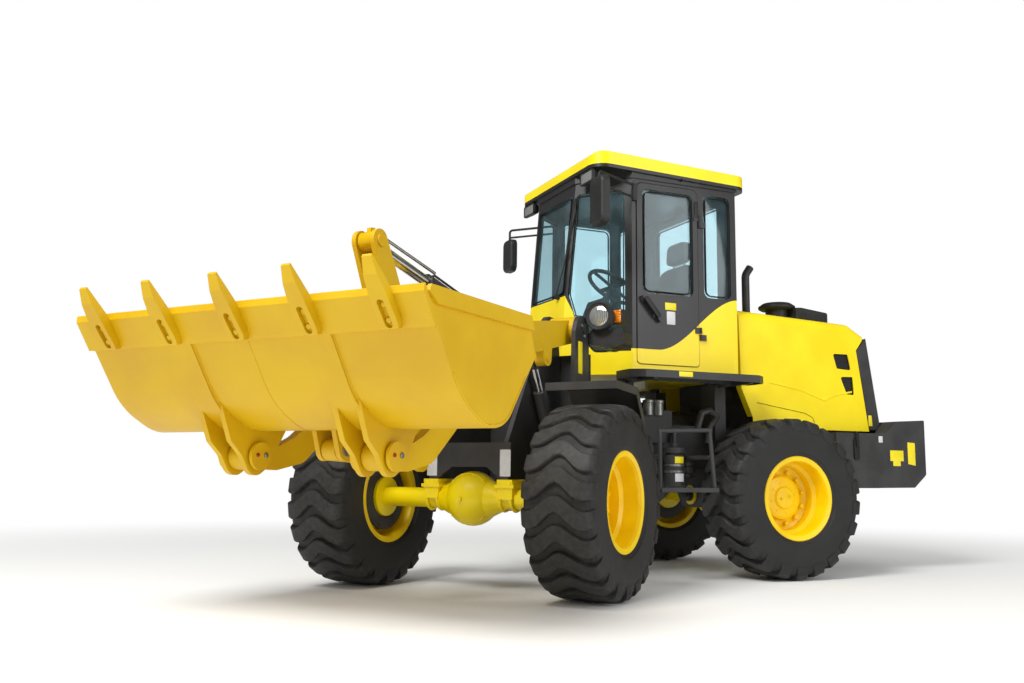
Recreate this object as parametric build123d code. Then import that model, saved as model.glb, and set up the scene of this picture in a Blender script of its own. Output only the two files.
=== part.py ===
from build123d import *
from math import acos, cos, degrees, radians, sin, tan
import os

# Compact articulated wheel loader, millimetres.
#
# Rear coordinates: origin on the ground under the articulation pin, +X to the
# machine's left, -Y forward, +Z up. Front coordinates are the same with the
# machine straight, and the whole front is then turned by STEER_ANGLE. Points
# of the front's side views are written as (forward, z), and points of the
# rear's side views as (y, z). A third number is a corner radius.

# ---- whole machine
STEER_ANGLE = 38.2
PIVOT_PLACE = (-906, 217, 0)
WHEELBASE = 2520
TRACK = 1556
FRONT_AXLE = WHEELBASE / 2
REAR_AXLE = WHEELBASE / 2

# ---- wheels
TYRE_RADIUS = 537.5
TYRE_WIDTH = 410
RIM_SEAT = 254
RIM_FLANGE = 283
RIM_WIDTH = 372
AXLE_HEIGHT = TYRE_RADIUS
HUB_RADIUS = 150
SPINDLE_RADIUS = 50

# ---- fits
RUNNING = 0.05
SIDE_GAP = 6
PANEL_GAP = 6

# ---- loader arms, side view (forward, z)
BOOM_PIVOT = (758, 1585)
BUCKET_PIVOT = (2758, 757)
ROCKER_PIVOT = (2030, 1231)
ROCKER_TOP = (2345, 1855)
ROCKER_ARM = 480.8
LINK_LENGTH = 651.9
ARM_TUBE = (1790, 1333)
ARM_TUBE_RADIUS = 70
LIFT_EYE = (1130, 1370)
LIFT_BASE = (700, 560)
LIFT_BARREL = 700
LIFT_BORE = 82
LIFT_ROD = 25
TILT_BARREL = 960
TILT_BASE = (880, 1540)
ARM_PLACE = 390
ARM_THICKNESS = 50
ARM_PIN = 32
CAP_RADIUS = 66
CAP_THICKNESS = 17
LUG_THICKNESS = 28
LUG_RADIUS = 84
ARM_BOSS = 64
LIFT_PLACE = 316
CENTRE_GAP = 90
HEADLAMP = (582, 1665)
TILT_PIN = 30
TILT_BORE = 90
TILT_ROD = 30
INDICATOR = ((2340, 1926), (1731, 1803))

# ---- bucket, side view from its hinge pin with the floor level
ROLLBACK = 57
BUCKET_WIDTH = 1920
BUCKET_SKIN = 14
BLADE_WIDTH = BUCKET_WIDTH + 14
BLADE_DEPTH = 165
BLADE_THICKNESS = 24
BLADE_START = 652
TOOTH_REACH = BUCKET_WIDTH / 2 - 175
TOOTH_PLACES = (-TOOTH_REACH, -TOOTH_REACH / 2, 0, TOOTH_REACH / 2, TOOTH_REACH)
LINK_PIN = (-71.8, 176.0)

# ---- articulation and steering
HINGE_PIN = 38
HINGE_NOSE = 88
HINGE_HEIGHTS = (500, 1010)
HINGE_PLATE = 50
FORK_PLATE = 30
SHAFT_HEIGHT = 660
STEER_HEIGHT = 720
STEER_BASE = (400, 760)
STEER_EYE = (365, 260)
STEER_BARREL = 670
STEER_BORE = 68
STEER_ROD = 19
STEER_PIN = 20

# ---- frames
TOWER_INNER = 240
TOWER_OUTER = 460
TOWER_PLATE = 28
REAR_PLATE = 22
REAR_HALF = 330
REAR_BOX_HALF = 700
REAR_BOX_START = REAR_AXLE + TYRE_RADIUS + 32.5
REAR_END = 2216
TAIL_END = 2765
TOW_PLACE = 2690
TOW_SLOT = (810, 890)
TOW_BORE = 21
TOW_TOP = 1080
TOW_FOOT = 756
SPOT_RADIUS = 46
POST_SIDE = 470
BELL_HEIGHT = 960
BELL_RADIUS = 190
ENGINE_START = 1125

# ---- cab
CAB_HALF = 600
CAB_FLOOR = 1349
CAB_TOP = 2700
CAB_REAR = 1060
CAB_SHOULDER = 205
CAB_WALL = 40
SLANT_LEAN = 0.0814
PANE_HIGH = 2622
PANE_TALL = 710
CORNER_POST = 16
DOOR_FRONT = 242
DOOR_REAR = 732
DOOR_LOW = 1424
DOOR_HIGH = 2672
DOOR_HINGE = (612, 745)
HINGE_LEVELS = (1650, 2450)
HANDLE = (346, 1798)
ROOF_HALF = 627
ROOF_FRONT = -86
ROOF_REAR = 1153
PLATFORM_TOP = 1360
PLATFORM_HALF = 850
LADDER_PLACE = 880

# ---- hood
HOOD_HALF = 560
HOOD_SKIN = 6
HOOD_HINGE = (2330, 1090)
HOOD_EAR = 280
HOOD_PIN = 12
DECK_TOP = 1000
CLEANER = (250, 1690)
HOOD_VENTS = (
    [(1947, 1589, 14), (2089, 1591, 14), (2116, 1473, 14), (1982, 1479, 14)],
    [(2011, 1419, 14), (2130, 1424, 14), (2139, 1287, 14), (2068, 1291, 14)],
)


# ------------------------------------------------------------- plain shapes
def outline(points):
    """Flat face through (u, v) or (u, v, corner radius) points."""
    corners = []
    for i, (u, v, *rest) in enumerate(points):
        here = Vector(u, v)
        if not rest:
            corners.append((here, None, here))
            continue
        before = (Vector(*points[i - 1][:2]) - here).normalized()
        after = (Vector(*points[(i + 1) % len(points)][:2]) - here).normalized()
        half = radians(before.get_angle(after)) / 2
        reach = rest[0] / tan(half)
        middle = here + (before + after).normalized() * (rest[0] / sin(half) - rest[0])
        corners.append((here + before * reach, middle, here + after * reach))
    edges = []
    for i, (start, middle, end) in enumerate(corners):
        if middle is not None:
            edges.append(ThreePointArc(start, middle, end))
        edges.append(Line(end, corners[(i + 1) % len(corners)][0]))
    return make_face(edges)


def bar_outline(start, end, start_radius, end_radius):
    """Two round ends joined by their outer tangents."""
    start, end = Vector(*start), Vector(*end)
    along = end - start
    lean = acos((start_radius - end_radius) / along.length)
    one = along.normalized().rotate(Axis.Z, degrees(lean))
    other = along.normalized().rotate(Axis.Z, -degrees(lean))
    back = along.normalized() * -start_radius
    front = along.normalized() * end_radius
    return make_face([
        ThreePointArc(start + one * start_radius, start + back, start + other * start_radius),
        Line(start + other * start_radius, end + other * end_radius),
        ThreePointArc(end + other * end_radius, end + front, end + one * end_radius),
        Line(end + one * end_radius, start + one * start_radius),
    ])


def fore(points):
    """Turns (forward, z) points into (y, z) points."""
    return [(-forward, *rest) for forward, *rest in points]


def side_slab(face, x0, x1):
    """Side view face, in (y, z), made solid from x0 to x1."""
    return extrude(Plane.YZ.offset(x0) * face, amount=x1 - x0, dir=(1, 0, 0))


def plan_slab(face, z0, z1):
    """Plan view face, in (x, y), made solid from z0 to z1."""
    return extrude(Pos(0, 0, z0) * face, amount=z1 - z0, dir=(0, 0, 1))


def front_slab(face, y0, y1):
    """Face seen from the front, in (x, z), made solid from y0 to y1."""
    plane = Plane(origin=(0, y0, 0), x_dir=(1, 0, 0), z_dir=(0, -1, 0))
    return extrude(plane * face, amount=y1 - y0, dir=(0, 1, 0))


def block(x0, x1, y0, y1, z0, z1):
    return Pos((x0 + x1) / 2, (y0 + y1) / 2, (z0 + z1) / 2) * Box(x1 - x0, y1 - y0, z1 - z0)


def round_bar(start, end, radius):
    """Cylinder between two points."""
    start, end = Vector(*start), Vector(*end)
    plane = Plane(origin=start, z_dir=end - start)
    return extrude(plane * Circle(radius), amount=(end - start).length)


def cross_bar(point, x0, x1, radius):
    """Cylinder across the machine at a (forward, z) point."""
    return round_bar((x0, -point[0], point[1]), (x1, -point[0], point[1]), radius)


def both_sides(shape):
    return shape + mirror(shape, about=Plane.YZ)


def bent_tube(points, radius, bend):
    """Round tube along a polyline with rounded corners."""
    path = FilletPolyline(*points, radius=bend)
    section = Plane(origin=path @ 0, z_dir=path % 0) * Circle(radius)
    return sweep(section, path=path)


def point_from(start, end, distance):
    """Point at a distance from start, on the way to end."""
    start, end = Vector(*start), Vector(*end)
    return start + (end - start).normalized() * distance


# ------------------------------------------------------------- wheels
def wheel_profile(points):
    """(axial, radius) points as a ring about the wheel's own X axis."""
    face = Plane.XY * outline(points)
    return revolve(face, axis=Axis.X)


def tyre():
    half = TYRE_WIDTH / 2
    bead = RIM_WIDTH / 2 - 14
    shoulder = TYRE_RADIUS - 34
    return wheel_profile([
        (8 - bead, RIM_SEAT), (-bead, RIM_SEAT + 8), (-bead, RIM_FLANGE + 4), (-half, 400, 90),
        (-half + 4, shoulder), (-half + 34, TYRE_RADIUS - 6), (-half + 90, TYRE_RADIUS),
        (half - 90, TYRE_RADIUS), (half - 34, TYRE_RADIUS - 6), (half - 4, shoulder), (half, 400, 90),
        (bead, RIM_FLANGE + 4), (bead, RIM_SEAT + 8), (bead - 8, RIM_SEAT), (bead - 26, RIM_SEAT),
        (bead - 24, 300), (half - 34, 400, 70), (half - 50, 470, 20), (-half + 50, 470, 20),
        (-half + 34, 400, 70), (-bead + 24, 300), (-bead + 26, RIM_SEAT),
    ])


def rim():
    """Drop-centre rim, dished disc and hub, with a blind bore for the spindle."""
    edge = RIM_WIDTH / 2
    barrel = wheel_profile([
        (-edge, RIM_FLANGE - 8), (-edge + 5, RIM_FLANGE), (-edge + 10, RIM_FLANGE - 4),
        (-edge + 12, RIM_SEAT + 4), (-edge + 20, RIM_SEAT), (-70, RIM_SEAT - 4), (-52, RIM_SEAT - 26),
        (52, RIM_SEAT - 26), (70, RIM_SEAT - 4), (edge - 20, RIM_SEAT), (edge - 12, RIM_SEAT + 4),
        (edge - 10, RIM_FLANGE - 4), (edge - 5, RIM_FLANGE), (edge, RIM_FLANGE - 8),
        (edge - 6, RIM_SEAT - 6), (edge - 24, RIM_SEAT - 12), (74, RIM_SEAT - 15), (56, RIM_SEAT - 37),
        (-56, RIM_SEAT - 37), (-74, RIM_SEAT - 15), (-edge + 24, RIM_SEAT - 12), (-edge + 6, RIM_SEAT - 6),
    ])
    disc = wheel_profile([
        (-34, HUB_RADIUS - 20), (-18, HUB_RADIUS - 20), (-18, 190), (-4, RIM_SEAT - 35),
        (-20, RIM_SEAT - 35), (-34, 190),
    ])
    hub = wheel_profile([
        (-110, SPINDLE_RADIUS + RUNNING), (-110, 150), (-92, 150), (-92, HUB_RADIUS - 14),
        (-34, HUB_RADIUS - 14), (-34, HUB_RADIUS), (16, HUB_RADIUS - 4, 8), (24, HUB_RADIUS - 24),
        (30, HUB_RADIUS - 70), (44, HUB_RADIUS - 82, 8), (52, 0), (0, 0), (0, SPINDLE_RADIUS + RUNNING),
    ])
    return barrel + disc + hub


def axle(y, banjo_radius):
    """Drive axle along X: centre housing, tubes, flanges and spindles."""
    reach = TRACK / 2
    tube = round_bar((-reach + 150, y, AXLE_HEIGHT), (reach - 150, y, AXLE_HEIGHT), 58)
    housing = Pos(0, y, AXLE_HEIGHT) * Sphere(banjo_radius)
    housing = housing & block(-130, 130, y - 200, y + 200, AXLE_HEIGHT - 200, AXLE_HEIGHT + 200)
    shape = tube + housing
    for side in (-1, 1):
        neck = Plane(origin=(side * 120, y, AXLE_HEIGHT), z_dir=(side, 0, 0))
        shape += extrude(neck * Circle(108), amount=110, taper=24)
        for start, end, radius in ((158, 116, 120), (120, 6, SPINDLE_RADIUS)):
            ends = [(side * (reach - depth), y, AXLE_HEIGHT) for depth in (start, end)]
            shape += round_bar(*ends, radius)
    return shape


def rear_axle():
    """The rear axle swings on trunnions that lie along the machine."""
    shape = axle(REAR_AXLE, 150)
    shape += round_bar((0, REAR_AXLE - 215, AXLE_HEIGHT), (0, REAR_AXLE + 215, AXLE_HEIGHT), 72)
    return shape


def front_axle():
    """The front axle is bolted under the frame on two seats."""
    shape = axle(-FRONT_AXLE, 160)
    shape += round_bar((0, -FRONT_AXLE, AXLE_HEIGHT), (0, 215 - FRONT_AXLE, AXLE_HEIGHT), 70)
    seat = block(TOWER_INNER - 40, TOWER_INNER + 60, -FRONT_AXLE - 80, -FRONT_AXLE + 80,
                 AXLE_HEIGHT, 650)
    return shape + both_sides(seat)


# ------------------------------------------------------------- rear frame
def rear_frame():
    spread = [(118, 130), (REAR_HALF - REAR_PLATE, 620), (REAR_HALF - REAR_PLATE, REAR_END),
              (REAR_HALF, REAR_END), (REAR_HALF, 614), (142, 130)]
    lows, highs = HINGE_HEIGHTS
    tall = side_slab(outline([
        (100, lows - 25), (560, lows - 25), (720, 620), (900, 730), (1620, 730), (1800, 600),
        (REAR_END, 600), (REAR_END, DECK_TOP), (640, highs + 25), (100, highs + 25)]), 0, REAR_HALF)
    frame = both_sides(plan_slab(outline(spread), 400, 1100) & tall)
    nose = outline([(-HINGE_NOSE, -HINGE_NOSE, HINGE_NOSE - 2), (HINGE_NOSE, -HINGE_NOSE, HINGE_NOSE - 2),
                    (HINGE_NOSE, 60), (142, 136), (190, 262), (-190, 262), (-142, 136), (-HINGE_NOSE, 60)])
    for height in HINGE_HEIGHTS:
        plate = plan_slab(nose, height - HINGE_PLATE / 2, height + HINGE_PLATE / 2)
        hole = round_bar((0, 0, height - 60), (0, 0, height + 60), HINGE_PIN + RUNNING)
        frame += plate - hole
    inner = REAR_HALF - REAR_PLATE
    hanger = outline([(-inner, 950), (inner, 950), (inner, 740), (120, AXLE_HEIGHT - 90, 40),
                      (-120, AXLE_HEIGHT - 90, 40), (-inner, 740)])
    bell_room = round_bar((0, 1000, BELL_HEIGHT), (0, 1100, BELL_HEIGHT), BELL_RADIUS + 10)
    for y in (REAR_AXLE - 205, REAR_AXLE + 180):
        plate = front_slab(hanger, y, y + 25)
        trunnion = round_bar((0, y - 5, AXLE_HEIGHT), (0, y + 30, AXLE_HEIGHT), 72 + RUNNING)
        frame += plate - trunnion - bell_room
    frame += block(-inner, inner, 1790, 1812, 620, 980)
    beam = block(-POST_SIDE, POST_SIDE, 200, 290, highs + 25, highs + 95)
    frame += beam
    for y, low in ((200, highs + 95), (950, highs - 80)):
        post = block(REAR_HALF - 22, POST_SIDE, y, y + 90, low, CAB_FLOOR - 30)
        pad = round_bar((400, y + 45, CAB_FLOOR - 30), (400, y + 45, CAB_FLOOR), 42)
        frame += both_sides(post) + both_sides(pad)
    outer = block(REAR_BOX_HALF - 16, REAR_BOX_HALF, REAR_BOX_START, REAR_END, 602, DECK_TOP)
    lid = block(REAR_HALF - 2, REAR_BOX_HALF, REAR_BOX_START, REAR_END, DECK_TOP - 16, DECK_TOP)
    front = block(REAR_HALF - 2, REAR_BOX_HALF, REAR_BOX_START, REAR_BOX_START + 16, 602, DECK_TOP)
    return frame + both_sides(outer + lid + front)


def hinge_pins():
    """Articulation pins, each with a head plate."""
    top = HINGE_PLATE / 2 + SIDE_GAP + FORK_PLATE + 2
    pins = []
    for height in HINGE_HEIGHTS:
        pin = round_bar((0, 0, height - top), (0, 0, height + top + 12), HINGE_PIN)
        pins.append(pin + round_bar((0, 0, height + top), (0, 0, height + top + 12), HINGE_PIN + 22))
    return pins[0] + pins[1]


def counterweight():
    side = [(REAR_END, 603), (2560, 606), (TAIL_END, 771), (2750, 1062, 30), (2676, 1108, 40),
            (2392, 1092, 30), (2300, DECK_TOP), (REAR_END, DECK_TOP)]
    body = side_slab(outline(side), -REAR_BOX_HALF, REAR_BOX_HALF)
    plan = outline([(-REAR_BOX_HALF, REAR_END), (REAR_BOX_HALF, REAR_END), (REAR_BOX_HALF, 2680, 40),
                    (600, TAIL_END, 40), (-600, TAIL_END, 40), (-REAR_BOX_HALF, 2680, 40)])
    shape = body & plan_slab(plan, 500, 1200)
    low, high = TOW_SLOT
    slot = block(-60, 60, TOW_PLACE - 80, TAIL_END + 10, low, high)
    bore = round_bar((0, TOW_PLACE, 640), (0, TOW_PLACE, 1150), TOW_BORE)
    shape -= round_bar((0, TOW_PLACE, TOW_TOP), (0, TOW_PLACE, 1150), SPOT_RADIUS)
    shape -= round_bar((0, TOW_PLACE, 640), (0, TOW_PLACE, TOW_FOOT), SPOT_RADIUS)
    shape -= block(-HOOD_HALF - 14, HOOD_HALF + 14, REAR_END - 1, 2402, DECK_TOP, 1200)
    ear = side_slab(bar_outline(HOOD_HINGE, (2330, DECK_TOP - 20), 28, 40), HOOD_EAR, HOOD_EAR + 20)
    knuckle = ear + round_bar((HOOD_EAR - 10, *HOOD_HINGE), (HOOD_EAR + 50, *HOOD_HINGE), HOOD_PIN)
    return shape - slot - bore + both_sides(knuckle)


def engine_block():
    return block(-240, 240, ENGINE_START, 1780, 965, 1520)


def gearbox():
    """Torque converter housing, gearbox and its two output ends."""
    body = block(-190, 190, 335, 760, 640, 1120)
    bell = round_bar((0, 750, BELL_HEIGHT), (0, ENGINE_START, BELL_HEIGHT), BELL_RADIUS)
    return body + bell


def yoke(reach, ear_plane):
    """Fork of a universal joint, its ears beside the cross at the origin."""
    ears = []
    for side in (-1, 1):
        middle = side * 40
        if ear_plane == "x":
            ears.append(block(middle - 7, middle + 7, -24, 64, -22, 22))
        else:
            ears.append(block(-22, 22, -24, 64, middle - 7, middle + 7))
    bridge = block(-47, 47, 62, 78, -47, 47)
    shaft = round_bar((0, 76, 0), (0, reach, 0), 32)
    return ears[0] + ears[1] + bridge + shaft


def rear_drive_shafts():
    cross = round_bar((-33, 0, 0), (33, 0, 0), 14) + round_bar((0, 0, -32), (0, 0, 32), 14)
    front_part = Pos(0, 0, SHAFT_HEIGHT) * (yoke(335, "x") + cross)
    high, end = SHAFT_HEIGHT + 30, REAR_AXLE - 215
    rear_part = round_bar((0, 760, high), (0, 796, high), 46)
    rear_part += round_bar((0, 780, high), (0, end - 20, AXLE_HEIGHT), 30)
    return front_part + rear_part + round_bar((0, end - 36, AXLE_HEIGHT), (0, end, AXLE_HEIGHT), 46)


def front_drive_shaft():
    end = 215 - FRONT_AXLE
    shaft = Pos(0, 0, SHAFT_HEIGHT) * (Rot(0, 0, 180) * yoke(200, "z"))
    shaft += round_bar((0, -195, SHAFT_HEIGHT), (0, end + 20, AXLE_HEIGHT), 32)
    return shaft + round_bar((0, end + 36, AXLE_HEIGHT), (0, end, AXLE_HEIGHT), 46)


# ------------------------------------------------------------- hood group
def hood_shell(grow):
    """Hood body, smaller by grow on every side."""
    side = outline([
        (1100 + grow, 1863 - grow), (2120 - grow / 2, 1826 - grow, 60), (2267 - grow, 1747 - grow / 2),
        (2171 - grow, 1627), (2271 - grow, 1019), (1209, 1019), (1209, 1092), (1114 + grow, 1299)])
    solid = side_slab(side, -HOOD_HALF + grow, HOOD_HALF - grow)
    top = solid.edges().filter_by(lambda e: abs(e.center().X) > 500 and e.center().Z > 1760
                                  and abs((e % 0.5).X) < 0.1)
    return fillet(top, 70 - grow)


def hood():
    """Tilting hood, open below and towards the cab."""
    inside = hood_shell(HOOD_SKIN)
    low = block(-HOOD_HALF + HOOD_SKIN, HOOD_HALF - HOOD_SKIN, 1110, 2265, 1000, 1100)
    front = block(-HOOD_HALF + 60, HOOD_HALF - 60, 1080, 1260, 1000, 1780)
    shape = hood_shell(0) - inside - low - front
    for vent in HOOD_VENTS:
        shape -= side_slab(outline(vent), -HOOD_HALF - 20, HOOD_HALF + 20)
    return shape


def rear_grille():
    """Louvred rear panel, raked like the end of the hood."""
    low = 1032
    rake = 116 / 700
    cheek = outline([(2175, 1624), (2268, 1722), (2384 - 10 * rake, low), (2275, low)])
    solid = side_slab(cheek, -HOOD_HALF, HOOD_HALF)
    hollow = outline([
        (2100, 1600), (2200, 1600), (2254, 1660), (2354, 1060), (2354, 1000), (2100, 1000),
    ])
    inner = side_slab(hollow, -HOOD_HALF + 16, HOOD_HALF - 16)
    solid = solid - inner
    window = block(-470, 470, 2200, 2450, 1150, 1640)
    solid = solid - window
    for i in range(9):
        z = 1170 + i * 55
        y = 2384 - (z - 1022) * rake
        slat = outline([(y - 34, z - 6), (y - 6, z - 26), (y - 6, z - 14), (y - 34, z + 6)])
        solid += side_slab(slat, -472, 472)
    notch = block(HOOD_EAR - 18, HOOD_EAR + 60, 2200, 2450, 900, 1126)
    solid -= both_sides(notch)
    plate = side_slab(bar_outline(HOOD_HINGE, (2350, 1142), 28, 10), HOOD_EAR + 25, HOOD_EAR + 41)
    plate -= round_bar((0, *HOOD_HINGE), (HOOD_HALF, *HOOD_HINGE), HOOD_PIN + RUNNING)
    return solid + both_sides(plate)


def exhaust_pipe():
    """Stack with a raked outlet, on a flange bolted to the hood top."""
    pipe = bent_tube([(300, 1366, 1830), (300, 1366, 2180), (300, 1410, 2240)], 29, 70)
    flange = round_bar((300, 1366, 1836), (300, 1366, 1866), 52)
    return pipe + flange - hood_shell(0)


def air_intake():
    x, y = CLEANER
    side = outline([(y + 60, 1800), (2050, 1800), (2050, 1925, 15), (y + 110, 1950, 20), (y + 60, 1946)])
    box = side_slab(side, x - 150, x + 150)
    cap = plan_slab(Pos(x, y) * Circle(84), 1820, 1946)
    bowl = [(0, 1940), (118, 1940), (138, 1952, 8), (138, 1968, 8), (104, 1992, 10), (0, 1994)]
    top = Plane.XZ * outline(bowl)
    cap += Pos(x, y) * revolve(top, axis=Axis.Z)
    return box + cap - hood_shell(0)


# ------------------------------------------------------------- cab
def cab_corners(z):
    """Front corner (x, y) of the cab at a height."""
    share = (z - CAB_FLOOR) / (CAB_TOP - CAB_FLOOR)
    return 276 + 26 * share, -190 + 121 * share


def cab_outline(z, inset):
    """Six-sided plan of the cab at a height, inset from its outer face."""
    half, front = cab_corners(z)
    face = outline([(-CAB_HALF, CAB_REAR), (-CAB_HALF, CAB_SHOULDER), (-half, front), (half, front),
                    (CAB_HALF, CAB_SHOULDER), (CAB_HALF, CAB_REAR)])
    if inset:
        face = offset(face, amount=-inset, kind=Kind.INTERSECTION)
    return Pos(0, 0, z) * face


def cab_prism(inset, low, high):
    return loft([cab_outline(low, inset), cab_outline(high, inset)], ruled=True)


def slant_plane(side):
    """Plane of a front corner panel: u runs rearward from its front edge, v up."""
    low, high = cab_corners(CAB_FLOOR), cab_corners(CAB_TOP)
    start = Vector(side * low[0], low[1], CAB_FLOOR)
    along = Vector(side * CAB_HALF, CAB_SHOULDER, CAB_FLOOR) - start
    rise = Vector(side * high[0], high[1], CAB_TOP) - start
    normal = along.cross(rise) * side
    return Plane(origin=start, x_dir=along, z_dir=normal)


def window_cutters():
    """Prisms that cut every fixed window, in wall order."""
    cutters = []
    centre = outline([(-262, 1912, 30), (262, 1912, 30), (276, 2622, 30), (-276, 2622, 30)])
    cutters.append(front_slab(centre, -320, 60))
    for side in (-1, 1):
        plane = slant_plane(side)
        flip = 1 if plane.y_dir.Z > 0 else -1
        rises = (PANE_HIGH - CAB_FLOOR, PANE_HIGH - CAB_FLOOR - PANE_TALL)
        corner = [(CORNER_POST + SLANT_LEAN * v, v) for v in rises]
        top, middle = corner
        pane = [
            (*middle, 30), (150, 260, 60), (250, 150, 50), (462, 150, 70), (462, top[1], 40), (*top, 30),
        ]
        pane = outline([(u, flip * v, radius) for u, v, radius in pane])
        cutters.append(extrude(plane * pane, amount=70, both=True))
    quarter = outline([(786, 1912, 45), (1012, 1912, 45), (1012, 2650, 45), (786, 2650, 45)])
    cutters.append(side_slab(quarter, 500, 640))
    cutters.append(side_slab(quarter, -640, -500))
    side_pane = outline([(276, 1912, 45), (706, 1912, 45), (706, 2650, 45), (276, 2650, 45)])
    cutters.append(side_slab(side_pane, -640, -500))
    back = outline([(-430, 1930, 45), (430, 1930, 45), (430, 2640, 45), (-430, 2640, 45)])
    cutters.append(front_slab(back, 980, 1120))
    return cutters


def cab_shell():
    """Walls, pillars, header and floor of the cab, welded as one frame."""
    shell = cab_prism(0, CAB_FLOOR, CAB_TOP) - cab_prism(CAB_WALL, CAB_FLOOR + 36, CAB_TOP)
    for cutter in window_cutters():
        shell -= cutter
    doorway = outline([(DOOR_FRONT - PANEL_GAP, DOOR_LOW - PANEL_GAP, 30),
                       (DOOR_REAR + PANEL_GAP, DOOR_LOW - PANEL_GAP, 30),
                       (DOOR_REAR + PANEL_GAP, DOOR_HIGH + PANEL_GAP, 50),
                       (DOOR_FRONT - PANEL_GAP, DOOR_HIGH + PANEL_GAP, 50)])
    shell -= side_slab(doorway, 500, 640)
    x, y = DOOR_HINGE
    for z in HINGE_LEVELS:
        shell += block(CAB_HALF, x, y, y + 46, z - 45, z - 3)
        shell += round_bar((x, y, z - 45), (x, y, z - 3), 9)
    return shell


def cab_glass():
    """Fixed panes, seated in their openings just inside the outer face."""
    sheet = cab_prism(12, CAB_FLOOR, CAB_TOP) - cab_prism(18, CAB_FLOOR, CAB_TOP)
    panes = [sheet & cutter for cutter in window_cutters()]
    glass = panes[0]
    for pane in panes[1:]:
        glass += pane
    return glass


def cab_roof():
    side = outline([(ROOF_FRONT, 2748), (ROOF_FRONT, 2859, 48), (ROOF_REAR, 2818, 48), (ROOF_REAR, 2716)])
    plan = plan_slab(outline([(-ROOF_HALF, ROOF_FRONT, 120), (ROOF_HALF, ROOF_FRONT, 120),
                              (ROOF_HALF, ROOF_REAR, 90), (-ROOF_HALF, ROOF_REAR, 90)]), 2650, 2900)
    liner = cab_prism(-10, CAB_TOP, 2760)
    return (side_slab(side, -ROOF_HALF, ROOF_HALF) & plan) + liner


def door():
    """Rear-hinged door, flush in its opening, with hinge knuckles and a handle."""
    panel = outline([(DOOR_FRONT, DOOR_LOW, 26), (DOOR_REAR, DOOR_LOW, 26), (DOOR_REAR, DOOR_HIGH, 46),
                     (DOOR_FRONT, DOOR_HIGH, 46)])
    shape = side_slab(panel, CAB_HALF - 34, CAB_HALF + 6) - side_slab(door_pane(), 500, 700)
    x, y = DOOR_HINGE
    for z in HINGE_LEVELS:
        shape += block(CAB_HALF + 4, x, DOOR_REAR - 32, y, z + 3, z + 45)
        shape += round_bar((x, y, z + 3), (x, y, z + 45), 9)
    lever = plan_slab(SlotCenterToCenter(196, 30), 0, 14)
    stalks = plan_slab(Pos(-84, 0) * Circle(11), -26, 2) + plan_slab(Pos(60, 0) * Circle(11), -26, 2)
    held = Plane(origin=(CAB_HALF + 26, *HANDLE), x_dir=(0, 0.648, -0.762), z_dir=(1, 0, 0))
    return shape + held * (lever + stalks)


def door_pane():
    return outline([(284, 1908, 45), (692, 1908, 45), (692, 2632, 45), (284, 2632, 45)])


def door_glass():
    return side_slab(door_pane(), CAB_HALF - 12, CAB_HALF - 6)


def seat():
    base = block(-180, 180, 560, 880, CAB_FLOOR + 36, 1640)
    cushion = block(-250, 250, 480, 940, 1640, 1760)
    back = outline([(900, 1700), (1000, 1690, 20), (1015, 2240, 30), (940, 2240, 30), (860, 1760)])
    head = block(-130, 130, 935, 1010, 2280, 2440)
    stalks = both_sides(round_bar((70, 975, 2200), (70, 975, 2300), 8))
    return base + cushion + side_slab(back, -240, 240) + head + stalks


def steering_console():
    column = outline([(60, 1385), (260, 1385), (330, 1900, 20), (250, 1960, 20), (140, 1700)])
    stem = round_bar((0, 290, 1900), (0, 390, 2055), 22)
    rake = Plane(origin=(0, 390, 2055), z_dir=(0, 0.55, 0.84))
    wheel = rake * Torus(190, 15) + rake * (Box(376, 34, 10) + Box(34, 376, 10))
    return side_slab(column, -110, 110) + stem + wheel


# ------------------------------------------------------------- outside of the cab
def platforms():
    """Folded steps beside the cab, on brackets from the cab posts."""
    plan = outline([
        (CAB_HALF + 22, 67), (PLATFORM_HALF - 60, 67), (PLATFORM_HALF, 157),
        (PLATFORM_HALF, 1050), (PLATFORM_HALF - 70, 1133), (CAB_HALF + 22, 1133),
    ])
    tray = plan_slab(plan, PLATFORM_TOP - 50, PLATFORM_TOP)
    tray -= plan_slab(offset(plan, amount=-6, kind=Kind.INTERSECTION), PLATFORM_TOP - 60, PLATFORM_TOP - 6)
    for y in (230, 980):
        tray += block(POST_SIDE, PLATFORM_HALF - 20, y, y + 30, CAB_FLOOR - 48, CAB_FLOOR - 6)
    return both_sides(tray)


def ladders():
    """Tube frames with a tread, carried by two arms from the frame plate."""
    x = LADDER_PLACE
    shape = round_bar((x, 236, 590), (x, 236, 960), 14) + round_bar((x, 650, 590), (x, 614, 980), 14)
    shape += round_bar((x, 222, 962), (x, 626, 976), 14)
    shape += block(x - 60, x + 20, 236, 668, 576, 604)
    for y, inner in ((236, 190), (632, REAR_HALF + 1)):
        shape += round_bar((x, y, 800), (inner, y, 800), 14)
    return both_sides(shape)


def mirror_arm(side, head, reach, levels):
    """Two bars from the cab's pillar, bent down into a mirror head."""
    x, y = head
    upper, lower = levels
    root = (side * (CAB_HALF + 12), CAB_SHOULDER + 10)
    rod = bent_tube([(*root, upper), (x, y, upper), (x, y, reach)], 9, 24)
    rod += round_bar((*root, lower), (x, y, lower), 8)
    foot = block(root[0] - 9, root[0] + 9, root[1] - 12, root[1] + 24, lower - 20, upper + 14)
    return rod + foot


def mirror_head(place, width, low, high, depth):
    """Rounded housing, flatter on its glass side."""
    x, y = place
    back = outline([(x - width / 2, low, 50), (x + width / 2, low, 50), (x + width / 2, high, 50),
                    (x - width / 2, high, 50)])
    shape = front_slab(back, y - depth / 2, y + depth / 2)
    front = shape.faces().sort_by(Axis.Y)[0]
    return fillet(front.edges(), depth * 0.42)


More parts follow.
